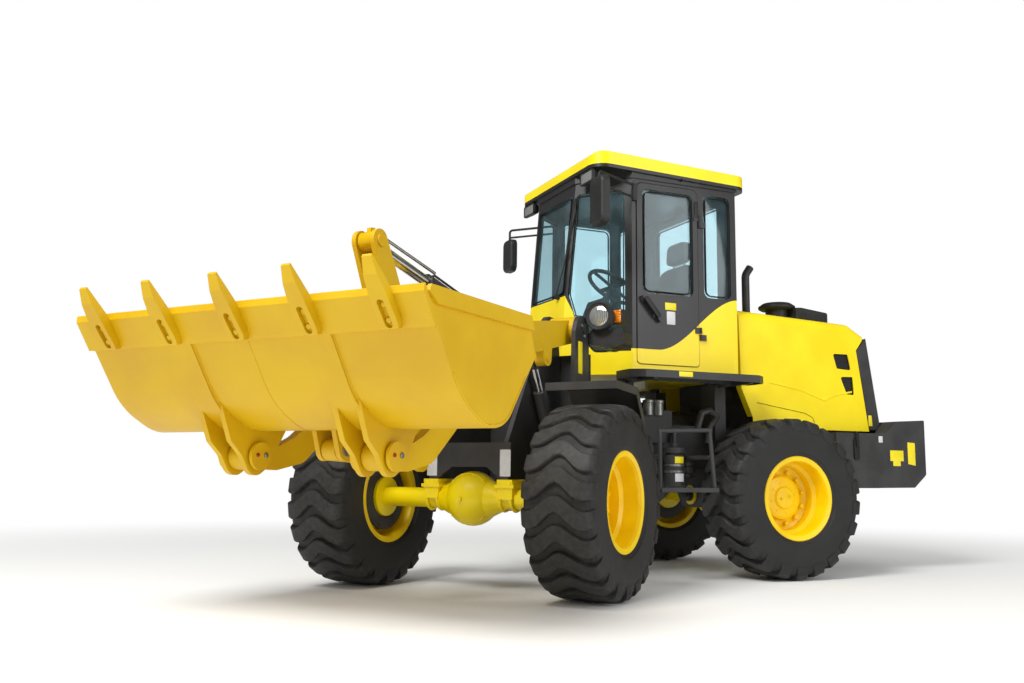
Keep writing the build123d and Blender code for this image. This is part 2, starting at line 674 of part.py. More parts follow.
def mirrors():
    left = mirror_head((790, -150), 180, 2283, 2609, 62) + mirror_arm(1, (790, -150), 2560, (2646, 2560))
    right = mirror_head((-905, -50), 170, 2294, 2560, 58) + mirror_arm(-1, (-905, -50), 2520, (2640, 2580))
    return left + right


def roof_lamps():
    return both_sides(block(385, 565, -82, -22, 2655, 2745))


def battery_box():
    return block(340, 520, 300, 560, 900, 1120)


def oil_tank():
    return block(-560, -340, 300, 900, 830, 1240)


# ------------------------------------------------------------- front frame
def front_frame():
    inner = outline(fore([
        (300, 430), (440, 430), (620, 470), (780, 500), (900, 620), (1100, 650), (1330, 650), (1330, 870),
        (905, 1560), (845, 1672, 80), (690, 1672, 80), (610, 1180), (420, 1075), (300, 1075)]))
    frame = both_sides(side_slab(inner, TOWER_INNER, TOWER_INNER + TOWER_PLATE))
    outer = outline(fore([(640, 500), (780, 500), (940, 700), (900, 1100), (886, 1560), (838, 1662, 72),
                          (686, 1662, 72), (680, 1200), (620, 900)]))
    frame += both_sides(side_slab(outer, TOWER_OUTER, TOWER_OUTER + TOWER_PLATE))
    back = block(TOWER_INNER + 10, TOWER_OUTER + 10, -628, -612, 510, 1440)
    frame += both_sides(back)
    notch = outline([(-284, 863), (-264, 650), (-210, 655), (-125, 722), (125, 722), (210, 655), (264, 650),
                     (284, 863)])
    frame += front_slab(notch, -1330, -1308)
    shaft_room = round_bar((0, -600, 594), (0, -660, 594), 62)
    frame += block(-TOWER_INNER, TOWER_INNER, -640, -615, 560, 1500) - shaft_room
    fork = outline([(-HINGE_NOSE, HINGE_NOSE, HINGE_NOSE - 2), (HINGE_NOSE, HINGE_NOSE, HINGE_NOSE - 2),
                    (HINGE_NOSE, -60), (TOWER_INNER + 10, -310), (TOWER_INNER + 10, -420),
                    (-TOWER_INNER - 10, -420), (-TOWER_INNER - 10, -310), (-HINGE_NOSE, -60)])
    for height in HINGE_HEIGHTS:
        for side in (-1, 1):
            near = height + side * (HINGE_PLATE / 2 + SIDE_GAP)
            far = near + side * FORK_PLATE
            frame += plan_slab(fork, min(near, far), max(near, far))
        frame -= round_bar((0, 0, height - 70), (0, 0, height + 70), HINGE_PIN + RUNNING)
    frame += cross_bar(BOOM_PIVOT, -TOWER_OUTER - TOWER_PLATE - 14, -TOWER_INNER + 4, 35)
    frame += cross_bar(BOOM_PIVOT, TOWER_INNER - 4, TOWER_OUTER + TOWER_PLATE + 14, 35)
    frame += both_sides(cross_bar(LIFT_BASE, TOWER_INNER, TOWER_OUTER + TOWER_PLATE + 12, 25))
    frame += cross_bar((770, 1500), -TOWER_INNER - 5, TOWER_INNER + 5, 62)
    tilt_lug = bar_outline((-770, 1500), (-TILT_BASE[0], TILT_BASE[1]), 62, 52)
    lug = side_slab(tilt_lug, CENTRE_GAP / 2, CENTRE_GAP / 2 + 25)
    frame += both_sides(lug)
    frame -= cross_bar(TILT_BASE, -100, 100, TILT_PIN + RUNNING)
    plate = outline([(TOWER_INNER + 10, -240), (STEER_EYE[0] + 20, -STEER_EYE[1] + 40, 20),
                     (STEER_EYE[0] + 48, -STEER_EYE[1] - 30, 20), (TOWER_INNER + 10, -420)])
    for z in (STEER_HEIGHT - 48, STEER_HEIGHT + 28):
        frame += both_sides(plan_slab(plate, z, z + 20))
        head = z - 8 if z < STEER_HEIGHT else z + 20
        x, y = STEER_EYE[0], -STEER_EYE[1]
        frame += both_sides(round_bar((x, y, head), (x, y, head + 8), 24))
    return frame


def front_fenders():
    top = outline(fore([(1304, 1194), (987, 1178), (863, 964), (856, 968), (982, 1186), (1304, 1202)]))
    sheet = side_slab(top, TOWER_OUTER + TOWER_PLATE, 930)
    lip = outline(fore([(1304, 1202), (982, 1186), (856, 968), (890, 948), (1004, 1142), (1304, 1157)]))
    sheet += side_slab(lip, 924, 930)
    sheet += block(TOWER_OUTER + TOWER_PLATE, 930, -1304, -1298, 1157, 1200)
    return both_sides(sheet)


def headlamps():
    """Round lamps with a side signal, each on a folded bracket of the tower."""
    x, z = HEADLAMP
    bowl = outline([
        (0, -742), (76, -742), (80, -750, 4), (90, -750, 4),
        (90, -716), (74, -640, 30), (40, -628, 10), (0, -628),
    ])
    body = Pos(x, 0, z) * revolve(Plane.XY * bowl, axis=Axis.Y)
    signal = block(x + 60, x + 132, -664, -560, z - 44, z + 46)
    fold = outline([
        (TOWER_OUTER + TOWER_PLATE, 1560), (x - 60, 1588, 20), (x + 150, 1576, 20),
        (x + 152, 1486, 30), (x + 60, 1462, 30), (TOWER_OUTER + TOWER_PLATE, 1496),
    ])
    tray = offset(fold, amount=-8, kind=Kind.INTERSECTION)
    bracket = front_slab(fold, -700, -560) - front_slab(tray, -692, -550)
    stem = round_bar((x, -660, 1570), (x, -660, z - 60), 20)
    return both_sides(body + signal + bracket + stem)


# ------------------------------------------------------------- arms
def rest_pins():
    """Link pins of the arms at rest, as (forward, z)."""
    lean = radians(ROLLBACK)
    u, v = LINK_PIN
    bucket_end = Vector(BUCKET_PIVOT[0] + u * cos(lean) - v * sin(lean),
                        BUCKET_PIVOT[1] + u * sin(lean) + v * cos(lean))
    pivot = Vector(*ROCKER_PIVOT)
    span = bucket_end - pivot
    lean = acos((ROCKER_ARM ** 2 + span.length ** 2 - LINK_LENGTH ** 2) / (2 * ROCKER_ARM * span.length))
    arm = span.normalized().rotate(Axis.Z, -degrees(lean)) * ROCKER_ARM
    rocker_end = pivot + arm
    return (bucket_end.X, bucket_end.Y), (rocker_end.X, rocker_end.Y)


def boom():
    arm = outline(fore([
        (740, 1648), (1331, 1561), (1760, 1478, 250), (2200, 1020, 200), (2430, 860, 120), (2560, 808),
        (2740, 812), (2740, 702), (2560, 692, 60), (2360, 730, 150), (2080, 950, 200), (1700, 1330, 200),
        (1239, 1393), (760, 1500)]))
    shape = side_slab(arm, ARM_PLACE - ARM_THICKNESS / 2, ARM_PLACE + ARM_THICKNESS / 2)
    for point, radius, low, high, bore in (
            (BOOM_PIVOT, 80, TOWER_INNER + TOWER_PLATE + SIDE_GAP, TOWER_OUTER - SIDE_GAP, 35),
            (BUCKET_PIVOT, ARM_BOSS, ARM_PLACE - 44, ARM_PLACE + 44, ARM_PIN)):
        shape += cross_bar(point, low, high, radius)
        shape -= cross_bar(point, low - 20, high + 20, bore + RUNNING)
    lift_lug = bar_outline((-LIFT_EYE[0], LIFT_EYE[1]), (-LIFT_EYE[0], LIFT_EYE[1] + 90), 50, 60)
    shape += side_slab(lift_lug, ARM_PLACE - 36, ARM_PLACE + 30)
    shape += cross_bar(LIFT_EYE, ARM_PLACE + 20, ARM_PLACE + 38, 26)
    shape = both_sides(shape)
    shape += cross_bar(ARM_TUBE, -ARM_PLACE, ARM_PLACE, ARM_TUBE_RADIUS)
    lug = bar_outline((-ARM_TUBE[0], ARM_TUBE[1]), (-ROCKER_PIVOT[0], ROCKER_PIVOT[1]), ARM_TUBE_RADIUS, 66)
    low = CENTRE_GAP / 2 + 50
    lugs = side_slab(lug, low, low + 26)
    lugs -= cross_bar(ROCKER_PIVOT, 0, 200, ARM_PIN + RUNNING)
    return shape + both_sides(lugs)


def rocker():
    """Two plates either side of the tilt cylinder and link, joined by a hub."""
    end = rest_pins()[1]
    pivot = (-ROCKER_PIVOT[0], ROCKER_PIVOT[1])
    low = CENTRE_GAP / 2
    plate = None
    for tip, radius in ((ROCKER_TOP, 60), (end, 72)):
        arm = side_slab(bar_outline(pivot, (-tip[0], tip[1]), 88, radius), low, low + 25)
        arm += cross_bar(tip, low + 25, low + 35, 32)
        plate = arm if plate is None else plate + arm
    shape = both_sides(plate) + cross_bar(ROCKER_PIVOT, -low - 44, low + 44, 72)
    return shape - cross_bar(ROCKER_PIVOT, -200, 200, ARM_PIN + RUNNING)


def rocker_pin():
    low = CENTRE_GAP / 2
    return cross_bar(ROCKER_PIVOT, -low - 90, low + 90, ARM_PIN)


def tilt_link():
    """Straight link between the rocker's lower end and the bucket."""
    near, far = rest_pins()
    bar = bar_outline((-near[0], near[1]), (-far[0], far[1]), 52, 52)
    half = CENTRE_GAP / 2 - SIDE_GAP
    shape = side_slab(bar, -half, half)
    return shape - cross_bar(near, -100, 100, ARM_PIN + RUNNING)


def link_pin():
    near = rest_pins()[0]
    return cross_bar(near, -CENTRE_GAP / 2 - 34, CENTRE_GAP / 2 + 34, ARM_PIN)


def bucket_pins():
    """Bucket pins with a thick cover on each end."""
    pin = cross_bar(BUCKET_PIVOT, ARM_PLACE - 88, ARM_PLACE + 88, ARM_PIN)
    for end in (-88 - CAP_THICKNESS, 88):
        pin += cross_bar(BUCKET_PIVOT, ARM_PLACE + end, ARM_PLACE + end + CAP_THICKNESS, CAP_RADIUS)
    return both_sides(pin)


# ------------------------------------------------------------- bucket
def place_bucket(shape):
    """Rolls the level bucket back and carries it to its hinge."""
    return Pos(0, -BUCKET_PIVOT[0], BUCKET_PIVOT[1]) * (Rot(-ROLLBACK, 0, 0) * shape)


# bucket section from its hinge pin: blade end, floor, heel, back, top
SECTION = [(790, -92), (330, -92, 400), (95, 40, 250), (45, 200, 200), (125, 450), (165, 590)]
MOUTH = (345, 622)
STRAP_WIDTH = 132
STRAP_THICKNESS = 12


def bucket():
    half = BUCKET_WIDTH / 2
    body = side_slab(outline(fore(SECTION + [MOUTH, (360, 608), (800, -66)])), -half, half)
    thick = BUCKET_SKIN
    inner = [(850, -92 + thick), (330, -92 + thick, 386), (95 + thick, 40 + thick / 2, 236),
             (45 + thick, 200, 186), (125 + thick, 450 - thick / 3), (165 + thick, 590 - thick),
             (420, 590 - thick), (900, 400)]
    shell = body - side_slab(outline(fore(inner)), -half + 16, half - 16)
    strip = outline(fore([(790, -92), (806, -66), (352, 628), (345 - 60, 618), (300, 590), (720, -60)]))
    shell += both_sides(side_slab(strip, half - 2, half + 16))
    lug = outline(fore([
        (330, -80), (300, -40), (110, 80), (75, 210), (140, 420), (60, 360),
        (-LUG_RADIUS, 40, 80), (-LUG_RADIUS, -LUG_RADIUS, 70), (60, -LUG_RADIUS, 60), (150, -110),
    ]))
    for place in (ARM_PLACE, -ARM_PLACE):
        for side in (-1, 1):
            near = place + side * (44 + SIDE_GAP)
            far = near + side * LUG_THICKNESS
            shell += side_slab(lug, min(near, far), max(near, far)) - body
    skin = side_slab(outline(fore(SECTION[:4] + [(60, 300), (300, 300), (790, -60)])), -half, half)
    under = outline(fore([(BLADE_START - 4, -92 - STRAP_THICKNESS), (310, -92 - STRAP_THICKNESS, 400),
                          (120, 6, 200), (60, 110), (200, 200), (BLADE_START - 4, -60)]))
    for place in (ARM_PLACE, -ARM_PLACE):
        strap = side_slab(under, place - STRAP_WIDTH / 2, place + STRAP_WIDTH / 2)
        shell += strap - skin
    low = CENTRE_GAP / 2
    link_lug = bar_outline((-LINK_PIN[0], LINK_PIN[1]), (-110, 280), 54, 110)
    shell += both_sides(side_slab(link_lug, low, low + 26) - body)
    holes = cross_bar((0, 0), -600, 600, ARM_PIN + RUNNING)
    holes += cross_bar(LINK_PIN, -200, 200, ARM_PIN + RUNNING)
    return place_bucket(shell - holes)


def cutting_edge():
    edge = outline(fore([
        (817 - BLADE_DEPTH, -92 - BLADE_THICKNESS), (800, -92 - BLADE_THICKNESS),
        (822, -100), (822, -92), (817 - BLADE_DEPTH, -92),
    ]))
    return place_bucket(side_slab(edge, -BLADE_WIDTH / 2, BLADE_WIDTH / 2))


def bucket_teeth():
    """Bolt-on teeth under the cutting edge, tapered in side and plan."""
    low = -92 - BLADE_THICKNESS
    side = outline(fore([(655, low), (664, low - 30, 12), (800, low - 42), (900, low - 46), (970, low - 32),
                         (974, low - 22), (826, low)]))
    plan = outline([(-30, -650), (-44, -690), (-40, -840), (-21, -980), (21, -980), (40, -840), (44, -690),
                    (30, -650)])
    tooth = side_slab(side, -60, 60) & plan_slab(plan, -400, 100)
    pocket = plan_slab(Pos(0, -733) * SlotOverall(126, 34, rotation=90), low - 60, low - 16)
    tooth -= pocket
    teeth = Pos(TOOTH_PLACES[0], 0, 0) * tooth
    for place in TOOTH_PLACES[1:]:
        teeth += Pos(place, 0, 0) * tooth
    return place_bucket(teeth)


# ------------------------------------------------------------- hydraulic cylinders
def ram_barrel(base, eye, start, length, radius, rod):
    """Barrel on a narrow neck, bored for its rod."""
    tube = round_bar(point_from(base, eye, start), point_from(base, eye, length), radius)
    bore = round_bar(point_from(base, eye, start + 20), point_from(base, eye, length + 5), rod + RUNNING)
    return tube + round_bar(base, point_from(base, eye, start + 5), radius * 0.7) - bore


def ram_rod(base, eye, length, rod):
    """Chrome rod from its eye back into the barrel."""
    return round_bar(point_from(eye, base, length), eye, rod)


def pivot_points(place, base, eye):
    """Cylinder ends as points, from its (forward, z) pins and its place across."""
    return (place, -base[0], base[1]), (place, -eye[0], eye[1])


def lift_barrels():
    base, eye = pivot_points(LIFT_PLACE, LIFT_BASE, LIFT_EYE)
    shape = ram_barrel(base, eye, 50, LIFT_BARREL, LIFT_BORE / 2, LIFT_ROD)
    shape += cross_bar(LIFT_BASE, LIFT_PLACE - 30, LIFT_PLACE + 30, 46)
    return both_sides(shape - cross_bar(LIFT_BASE, LIFT_PLACE - 60, LIFT_PLACE + 60, 25 + RUNNING))


def lift_rods():
    base, eye = pivot_points(LIFT_PLACE, LIFT_BASE, LIFT_EYE)
    shape = ram_rod(base, eye, LIFT_BARREL - 12, LIFT_ROD)
    shape += cross_bar(LIFT_EYE, LIFT_PLACE - 25, LIFT_PLACE + 25, 44)
    return both_sides(shape + cross_bar(LIFT_EYE, LIFT_PLACE - 32, LIFT_PLACE + 29, 25))


def tilt_pin():
    side = CENTRE_GAP / 2 + 25 + 8
    return cross_bar(TILT_BASE, -side, side, TILT_PIN)


def tilt_barrel():
    base, eye = pivot_points(0, TILT_BASE, ROCKER_TOP)
    half = CENTRE_GAP / 2 - SIDE_GAP
    shape = ram_barrel(base, eye, 66, TILT_BARREL, TILT_BORE / 2, TILT_ROD)
    shape += cross_bar(TILT_BASE, -half, half, 50)
    return shape - cross_bar(TILT_BASE, -100, 100, TILT_PIN + RUNNING)


def tilt_rod():
    base, eye = pivot_points(0, TILT_BASE, ROCKER_TOP)
    half = CENTRE_GAP / 2 - SIDE_GAP
    shape = ram_rod(base, eye, TILT_BARREL - 130, TILT_ROD) + cross_bar(ROCKER_TOP, -half, half, 50)
    bend, tip = INDICATOR
    foot = ROCKER_TOP[1] + 30
    strap = outline(fore([
        (ROCKER_TOP[0] + 14, foot), (bend[0] + 14, bend[1]),
        (bend[0] - 22, bend[1] + 6), (ROCKER_TOP[0] - 22, foot),
    ]))
    shape += side_slab(strap, -12, 12)
    return shape + round_bar((0, -bend[0] + 4, bend[1] - 4), (0, -tip[0], tip[1]), 9)


def turned(point):
    """Front plan point carried into rear coordinates by the steering."""
    lean = radians(STEER_ANGLE)
    x, forward = point
    return (x * cos(lean) + forward * sin(lean), x * sin(lean) - forward * cos(lean))


def steer_points(side):
    base = (side * STEER_BASE[0], STEER_BASE[1], STEER_HEIGHT)
    x, y = turned((side * STEER_EYE[0], STEER_EYE[1]))
    return base, (x, y, STEER_HEIGHT)


def post(point, half, radius):
    """Upright boss about a point of a steering cylinder."""
    x, y, z = point
    return round_bar((x, y, z - half), (x, y, z + half), radius)


def steer_barrel(side):
    base, eye = steer_points(side)
    shape = ram_barrel(base, eye, 66, STEER_BARREL, STEER_BORE / 2, STEER_ROD) + post(base, 22, 38)
    return shape - post(base, 60, STEER_PIN + RUNNING)


def steer_rod(side):
    base, eye = steer_points(side)
    return ram_rod(base, eye, STEER_BARREL - 35, STEER_ROD) + post(eye, 22, 34)


def steer_brackets():
    """Plates on the rear frame that hold the steering barrels' pins."""
    x, y = STEER_BASE
    plate = outline([(REAR_HALF - 10, y - 42), (x + 30, y - 42, 20), (x + 44, y, 20), (x, y + 50, 20),
                     (REAR_HALF - 10, y + 110)])
    shape = post((x, y, STEER_HEIGHT), 58, STEER_PIN)
    for z in (STEER_HEIGHT - 48, STEER_HEIGHT + 28):
        shape += plan_slab(plate, z, z + 20)
    return both_sides(shape)


# ------------------------------------------------------------- assembly
def in_rear(shape):
    return Pos(*PIVOT_PLACE) * shape


def in_front(shape):
    return Pos(*PIVOT_PLACE) * (Rot(0, 0, STEER_ANGLE) * shape)


def main():
    os.makedirs("parts", exist_ok=True)
    # node: (shape in its own frame, placing)
    nodes = {
        "rear_frame": (rear_frame() + steer_brackets(), in_rear),
        "hinge_pins": (hinge_pins(), in_rear),
        "counterweight": (counterweight(), in_rear),
        "rear_axle": (rear_axle(), in_rear),
        "engine_block": (engine_block(), in_rear),
        "gearbox": (gearbox(), in_rear),
        "rear_drive_shafts": (rear_drive_shafts(), in_rear),
        "hood": (hood(), in_rear),
        "rear_grille": (rear_grille(), in_rear),
        "exhaust_pipe": (exhaust_pipe(), in_rear),
        "air_intake": (air_intake(), in_rear),
        "cab_shell": (cab_shell(), in_rear),
        "cab_glass": (cab_glass(), in_rear),
        "cab_roof": (cab_roof(), in_rear),
        "door": (door(), in_rear),
        "door_glass": (door_glass(), in_rear),
        "seat": (seat(), in_rear),
        "steering_console": (steering_console(), in_rear),
        "platforms": (platforms(), in_rear),
        "ladders": (ladders(), in_rear),
        "mirrors": (mirrors(), in_rear),
        "roof_lamps": (roof_lamps(), in_rear),
        "battery_box": (battery_box(), in_rear),
        "oil_tank": (oil_tank(), in_rear),
        "front_frame": (front_frame(), in_front),
        "front_axle": (front_axle(), in_front),
        "front_drive_shaft": (front_drive_shaft(), in_front),
        "front_fenders": (front_fenders(), in_front),
        "headlamps": (headlamps(), in_front),
        "boom": (boom(), in_front),
        "bucket_pins": (bucket_pins(), in_front),
        "bucket": (bucket(), in_front),
        "cutting_edge": (cutting_edge(), in_front),
        "bucket_teeth": (bucket_teeth(), in_front),
        "rocker_pin": (rocker_pin(), in_front),
        "rocker": (rocker(), in_front),
        "link_pin": (link_pin(), in_front),
        "tilt_link": (tilt_link(), in_front),
        "tilt_pin": (tilt_pin(), in_front),
        "tilt_barrel": (tilt_barrel(), in_front),
        "tilt_rod": (tilt_rod(), in_front),
        "lift_barrels": (lift_barrels(), in_front),
        "lift_rods": (lift_rods(), in_front),
    }
    for side, name in ((1, "left"), (-1, "right")):
        nodes[f"steering_barrel_{name}"] = (steer_barrel(side), in_rear)
        nodes[f"steering_rod_{name}"] = (steer_rod(side), in_rear)
        face = Rot(0, 0, 0) if side > 0 else Rot(0, 0, 180)
        for end, y, placing in (("front", -FRONT_AXLE, in_front), ("rear", REAR_AXLE, in_rear)):
            spot = Pos(side * TRACK / 2, y, AXLE_HEIGHT) * face
            nodes[f"tyre_{end}_{name}"] = (spot * tyre(), placing)
            nodes[f"rim_{end}_{name}"] = (spot * rim(), placing)
    for name, (shape, placing) in nodes.items():
        export_step(placing(shape), f"parts/{name}.step")


if __name__ == "__main__":
    main()
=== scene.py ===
import math

import bmesh
import bpy
from mathutils import Matrix, Vector


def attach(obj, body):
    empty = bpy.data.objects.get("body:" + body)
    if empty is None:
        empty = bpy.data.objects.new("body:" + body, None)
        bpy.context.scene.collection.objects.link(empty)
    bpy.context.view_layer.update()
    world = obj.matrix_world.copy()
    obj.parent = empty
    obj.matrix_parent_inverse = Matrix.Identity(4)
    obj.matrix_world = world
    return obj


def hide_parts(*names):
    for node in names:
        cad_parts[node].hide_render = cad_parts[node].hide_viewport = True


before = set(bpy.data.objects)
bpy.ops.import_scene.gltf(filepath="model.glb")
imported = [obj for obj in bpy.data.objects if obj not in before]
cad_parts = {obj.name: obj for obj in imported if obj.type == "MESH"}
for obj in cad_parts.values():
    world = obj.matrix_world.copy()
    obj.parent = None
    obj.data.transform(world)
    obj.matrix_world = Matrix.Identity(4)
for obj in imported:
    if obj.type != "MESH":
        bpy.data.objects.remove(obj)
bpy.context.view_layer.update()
print("frame loaded")

# Shapes are written in mm. Rear shapes: x to the machine's left, y rearward,
# z up, from the ground under the articulation. Front shapes are the same with
# the machine straight, and are turned with the front frame.
pivotPlace = Vector((-0.906, 0.217, 0.0))
steerAngle = 38.2
toMetres = Matrix.Scale(0.001, 4)
rearPlace = Matrix.Translation(pivotPlace) @ toMetres
frontPlace = Matrix.Translation(pivotPlace) @ Matrix.Rotation(math.radians(steerAngle), 4, "Z") @ toMetres


def sceneLinear(hexColour):
    channels = [int(hexColour[i:i + 2], 16) / 255 for i in (1, 3, 5)]
    return (*[c / 12.92 if c < 0.04045 else ((c + 0.055) / 1.055) ** 2.4 for c in channels], 1)


def addNode(tree, kind, values=None, links=None, **settings):
    node = tree.nodes.new(kind)
    for name, value in settings.items():
        setattr(node, name, value)
    for socket, value in (values or {}).items():
        node.inputs[socket].default_value = value
    for socket, source in (links or {}).items():
        tree.links.new(source, node.inputs[socket])
    return node


# camera
cameraSettings = {
    "place": (5.293, -2.891, 0.701),
    "lens": 34.18,
    "turn": 1.1609,    # radians left of straight ahead
    "rise": 0.1322,
    "roll": 0.0101,
}


def makeCamera(settings):
    turn, rise, roll = settings["turn"], settings["rise"], settings["roll"]
    ahead = Vector((-math.sin(turn) * math.cos(rise), math.cos(turn) * math.cos(rise), math.sin(rise)))
    level = Vector((math.cos(turn), math.sin(turn), 0))
    above = level.cross(ahead)
    right = level * math.cos(roll) + above * math.sin(roll)
    up = above * math.cos(roll) - level * math.sin(roll)
    data = bpy.data.cameras.new("camera")
    data.lens = settings["lens"]
    data.sensor_width = 36
    data.clip_end = 200
    camera = bpy.data.objects.new("camera", data)
    turned = Matrix((right, up, -ahead)).transposed().to_4x4()
    camera.matrix_world = Matrix.Translation(settings["place"]) @ turned
    bpy.context.scene.collection.objects.link(camera)
    bpy.context.scene.camera = camera


makeCamera(cameraSettings)
print("camera placed")

# floor and light
studio = {
    # the floor lies just under the tyres and fades to white between two distances, m
    "floorColour": "#F4F4F2", "floorHalf": 30, "floorDrop": 0.002, "fade": (3.5, 9.0),
    "worldStrength": 0.56,
    "glossStrength": 0.15,
    "key": {"place": (3.5, -6.0, 8.0), "size": 3.6, "power": 760},
    "fill": {"place": (7.0, 3.5, 3.5), "size": 5.0, "power": 170},
    "target": (0.0, 0.6, 1.0),
}


def makeStudio(settings):
    scene = bpy.context.scene
    scene.view_settings.view_transform = "Standard"
    world = bpy.data.worlds.new("paleStudio")
    world.use_nodes = True
    tree = world.node_tree
    tree.nodes.clear()
    path = addNode(tree, "ShaderNodeLightPath")
    shown = addNode(tree, "ShaderNodeMath", operation="MAXIMUM",
                    links={0: path.outputs["Is Camera Ray"], 1: path.outputs["Is Transmission Ray"]})
    glossy = addNode(tree, "ShaderNodeMapRange", links={"Value": path.outputs["Is Glossy Ray"]},
                     values={"To Min": settings["worldStrength"], "To Max": settings["glossStrength"]})
    dim = addNode(tree, "ShaderNodeBackground", values={"Color": (1, 1, 1, 1)},
                  links={"Strength": glossy.outputs["Result"]})
    white = addNode(tree, "ShaderNodeBackground", values={"Color": (1, 1, 1, 1), "Strength": 1.0})
    both = addNode(tree, "ShaderNodeMixShader",
                   links={0: shown.outputs[0], 1: dim.outputs[0], 2: white.outputs[0]})
    addNode(tree, "ShaderNodeOutputWorld", links={"Surface": both.outputs[0]})
    scene.world = world

    mesh = bpy.data.meshes.new("floor")
    half = settings["floorHalf"]
    corners = [(-half, -half, 0), (half, -half, 0), (half, half, 0), (-half, half, 0)]
    mesh.from_pydata(corners, [], [(0, 1, 2, 3)])
    floor = bpy.data.objects.new("floor", mesh)
    floor.location.z = -settings["floorDrop"]
    scene.collection.objects.link(floor)
    material = bpy.data.materials.new("palePaintedFloor")
    material.use_nodes = True
    tree = material.node_tree
    tree.nodes.clear()
    path = addNode(tree, "ShaderNodeLightPath")
    coords = addNode(tree, "ShaderNodeTexCoord")
    distance = addNode(tree, "ShaderNodeVectorMath", operation="LENGTH", links={0: coords.outputs["Object"]})
    far = addNode(tree, "ShaderNodeMapRange", interpolation_type="SMOOTHSTEP",
                  values={"From Min": settings["fade"][0], "From Max": settings["fade"][1]},
                  links={"Value": distance.outputs["Value"]})
    matt = addNode(tree, "ShaderNodeBsdfDiffuse", values={"Color": sceneLinear(settings["floorColour"])})
    glow = addNode(tree, "ShaderNodeEmission", values={"Color": (1, 1, 1, 1), "Strength": 1.0})
    seen = addNode(tree, "ShaderNodeMath", operation="MULTIPLY",
                   links={0: path.outputs["Is Camera Ray"], 1: far.outputs["Result"]})
    both = addNode(tree, "ShaderNodeMixShader",
                   links={0: seen.outputs[0], 1: matt.outputs[0], 2: glow.outputs[0]})
    addNode(tree, "ShaderNodeOutputMaterial", links={"Surface": both.outputs[0]})
    mesh.materials.append(material)

    for name in ("key", "fill"):
        lamp = settings[name]
        light = bpy.data.lights.new(name, "AREA")
        light.energy = lamp["power"]
        light.shape = "DISK"
        light.size = lamp["size"]
        holder = bpy.data.objects.new(name, light)
        holder.location = lamp["place"]
        aim = Vector(settings["target"]) - Vector(lamp["place"])
        holder.rotation_euler = aim.to_track_quat("-Z", "Y").to_euler()
        scene.collection.objects.link(holder)


makeStudio(studio)
print("studio lit")


# materials
def startMaterial(name):
    material = bpy.data.materials.new(name)
    material.use_nodes = True
    tree = material.node_tree
    tree.nodes.clear()
    coords = addNode(tree, "ShaderNodeTexCoord")
    shader = addNode(tree, "ShaderNodeBsdfPrincipled")
    addNode(tree, "ShaderNodeOutputMaterial", links={"Surface": shader.outputs[0]})
    return material, tree, coords.outputs["Object"], shader


def surfaceGrain(tree, place, shader, look):
    # grain: bump spacing in mm; patch: spacing of slow changes in mm
    grain = addNode(tree, "ShaderNodeTexNoise", values={"Scale": 1000 / look["grain"], "Detail": 2.0},
                    links={"Vector": place})
    patch = addNode(tree, "ShaderNodeTexNoise", values={"Scale": 1000 / look["patch"], "Detail": 4.0},
                    links={"Vector": place})
    shine = addNode(tree, "ShaderNodeMapRange", links={"Value": patch.outputs["Fac"]},
                    values={"From Min": 0.3, "From Max": 0.7,
                            "To Min": look["rough"][0], "To Max": look["rough"][1]})
    bump = addNode(tree, "ShaderNodeBump", links={"Height": grain.outputs["Fac"]},
                   values={"Strength": look["bump"], "Distance": look["grain"] * 0.0002})
    tree.links.new(shine.outputs["Result"], shader.inputs["Roughness"])
    tree.links.new(bump.outputs["Normal"], shader.inputs["Normal"])
    return patch.outputs["Fac"]


def driftColour(tree, factor, light, dark, low=0.35, high=0.65):
    ramp = addNode(tree, "ShaderNodeValToRGB", links={"Fac": factor})
    ramp.color_ramp.elements[0].position = low
    ramp.color_ramp.elements[0].color = sceneLinear(dark)
    ramp.color_ramp.elements[1].position = high
    ramp.color_ramp.elements[1].color = sceneLinear(light)
    return ramp.outputs["Color"]


def paintFinish(name, look):
    # sprayed enamel: even colour, faint orange peel, a clear gloss over it
    material, tree, place, shader = startMaterial(name)
    patch = surfaceGrain(tree, place, shader, look)
    colour = driftColour(tree, patch, look["light"], look["dark"])
    tree.links.new(colour, shader.inputs["Base Color"])
    shader.inputs["IOR"].default_value = 1.46
    shader.inputs["Coat Weight"].default_value = look["coat"]
    shader.inputs["Coat Roughness"].default_value = 0.08
    return material


def metalFinish(name, look):
    material, tree, place, shader = startMaterial(name)
    patch = surfaceGrain(tree, place, shader, look)
    colour = driftColour(tree, patch, look["light"], look["dark"])
    tree.links.new(colour, shader.inputs["Base Color"])
    shader.inputs["Metallic"].default_value = look["metallic"]
    return material


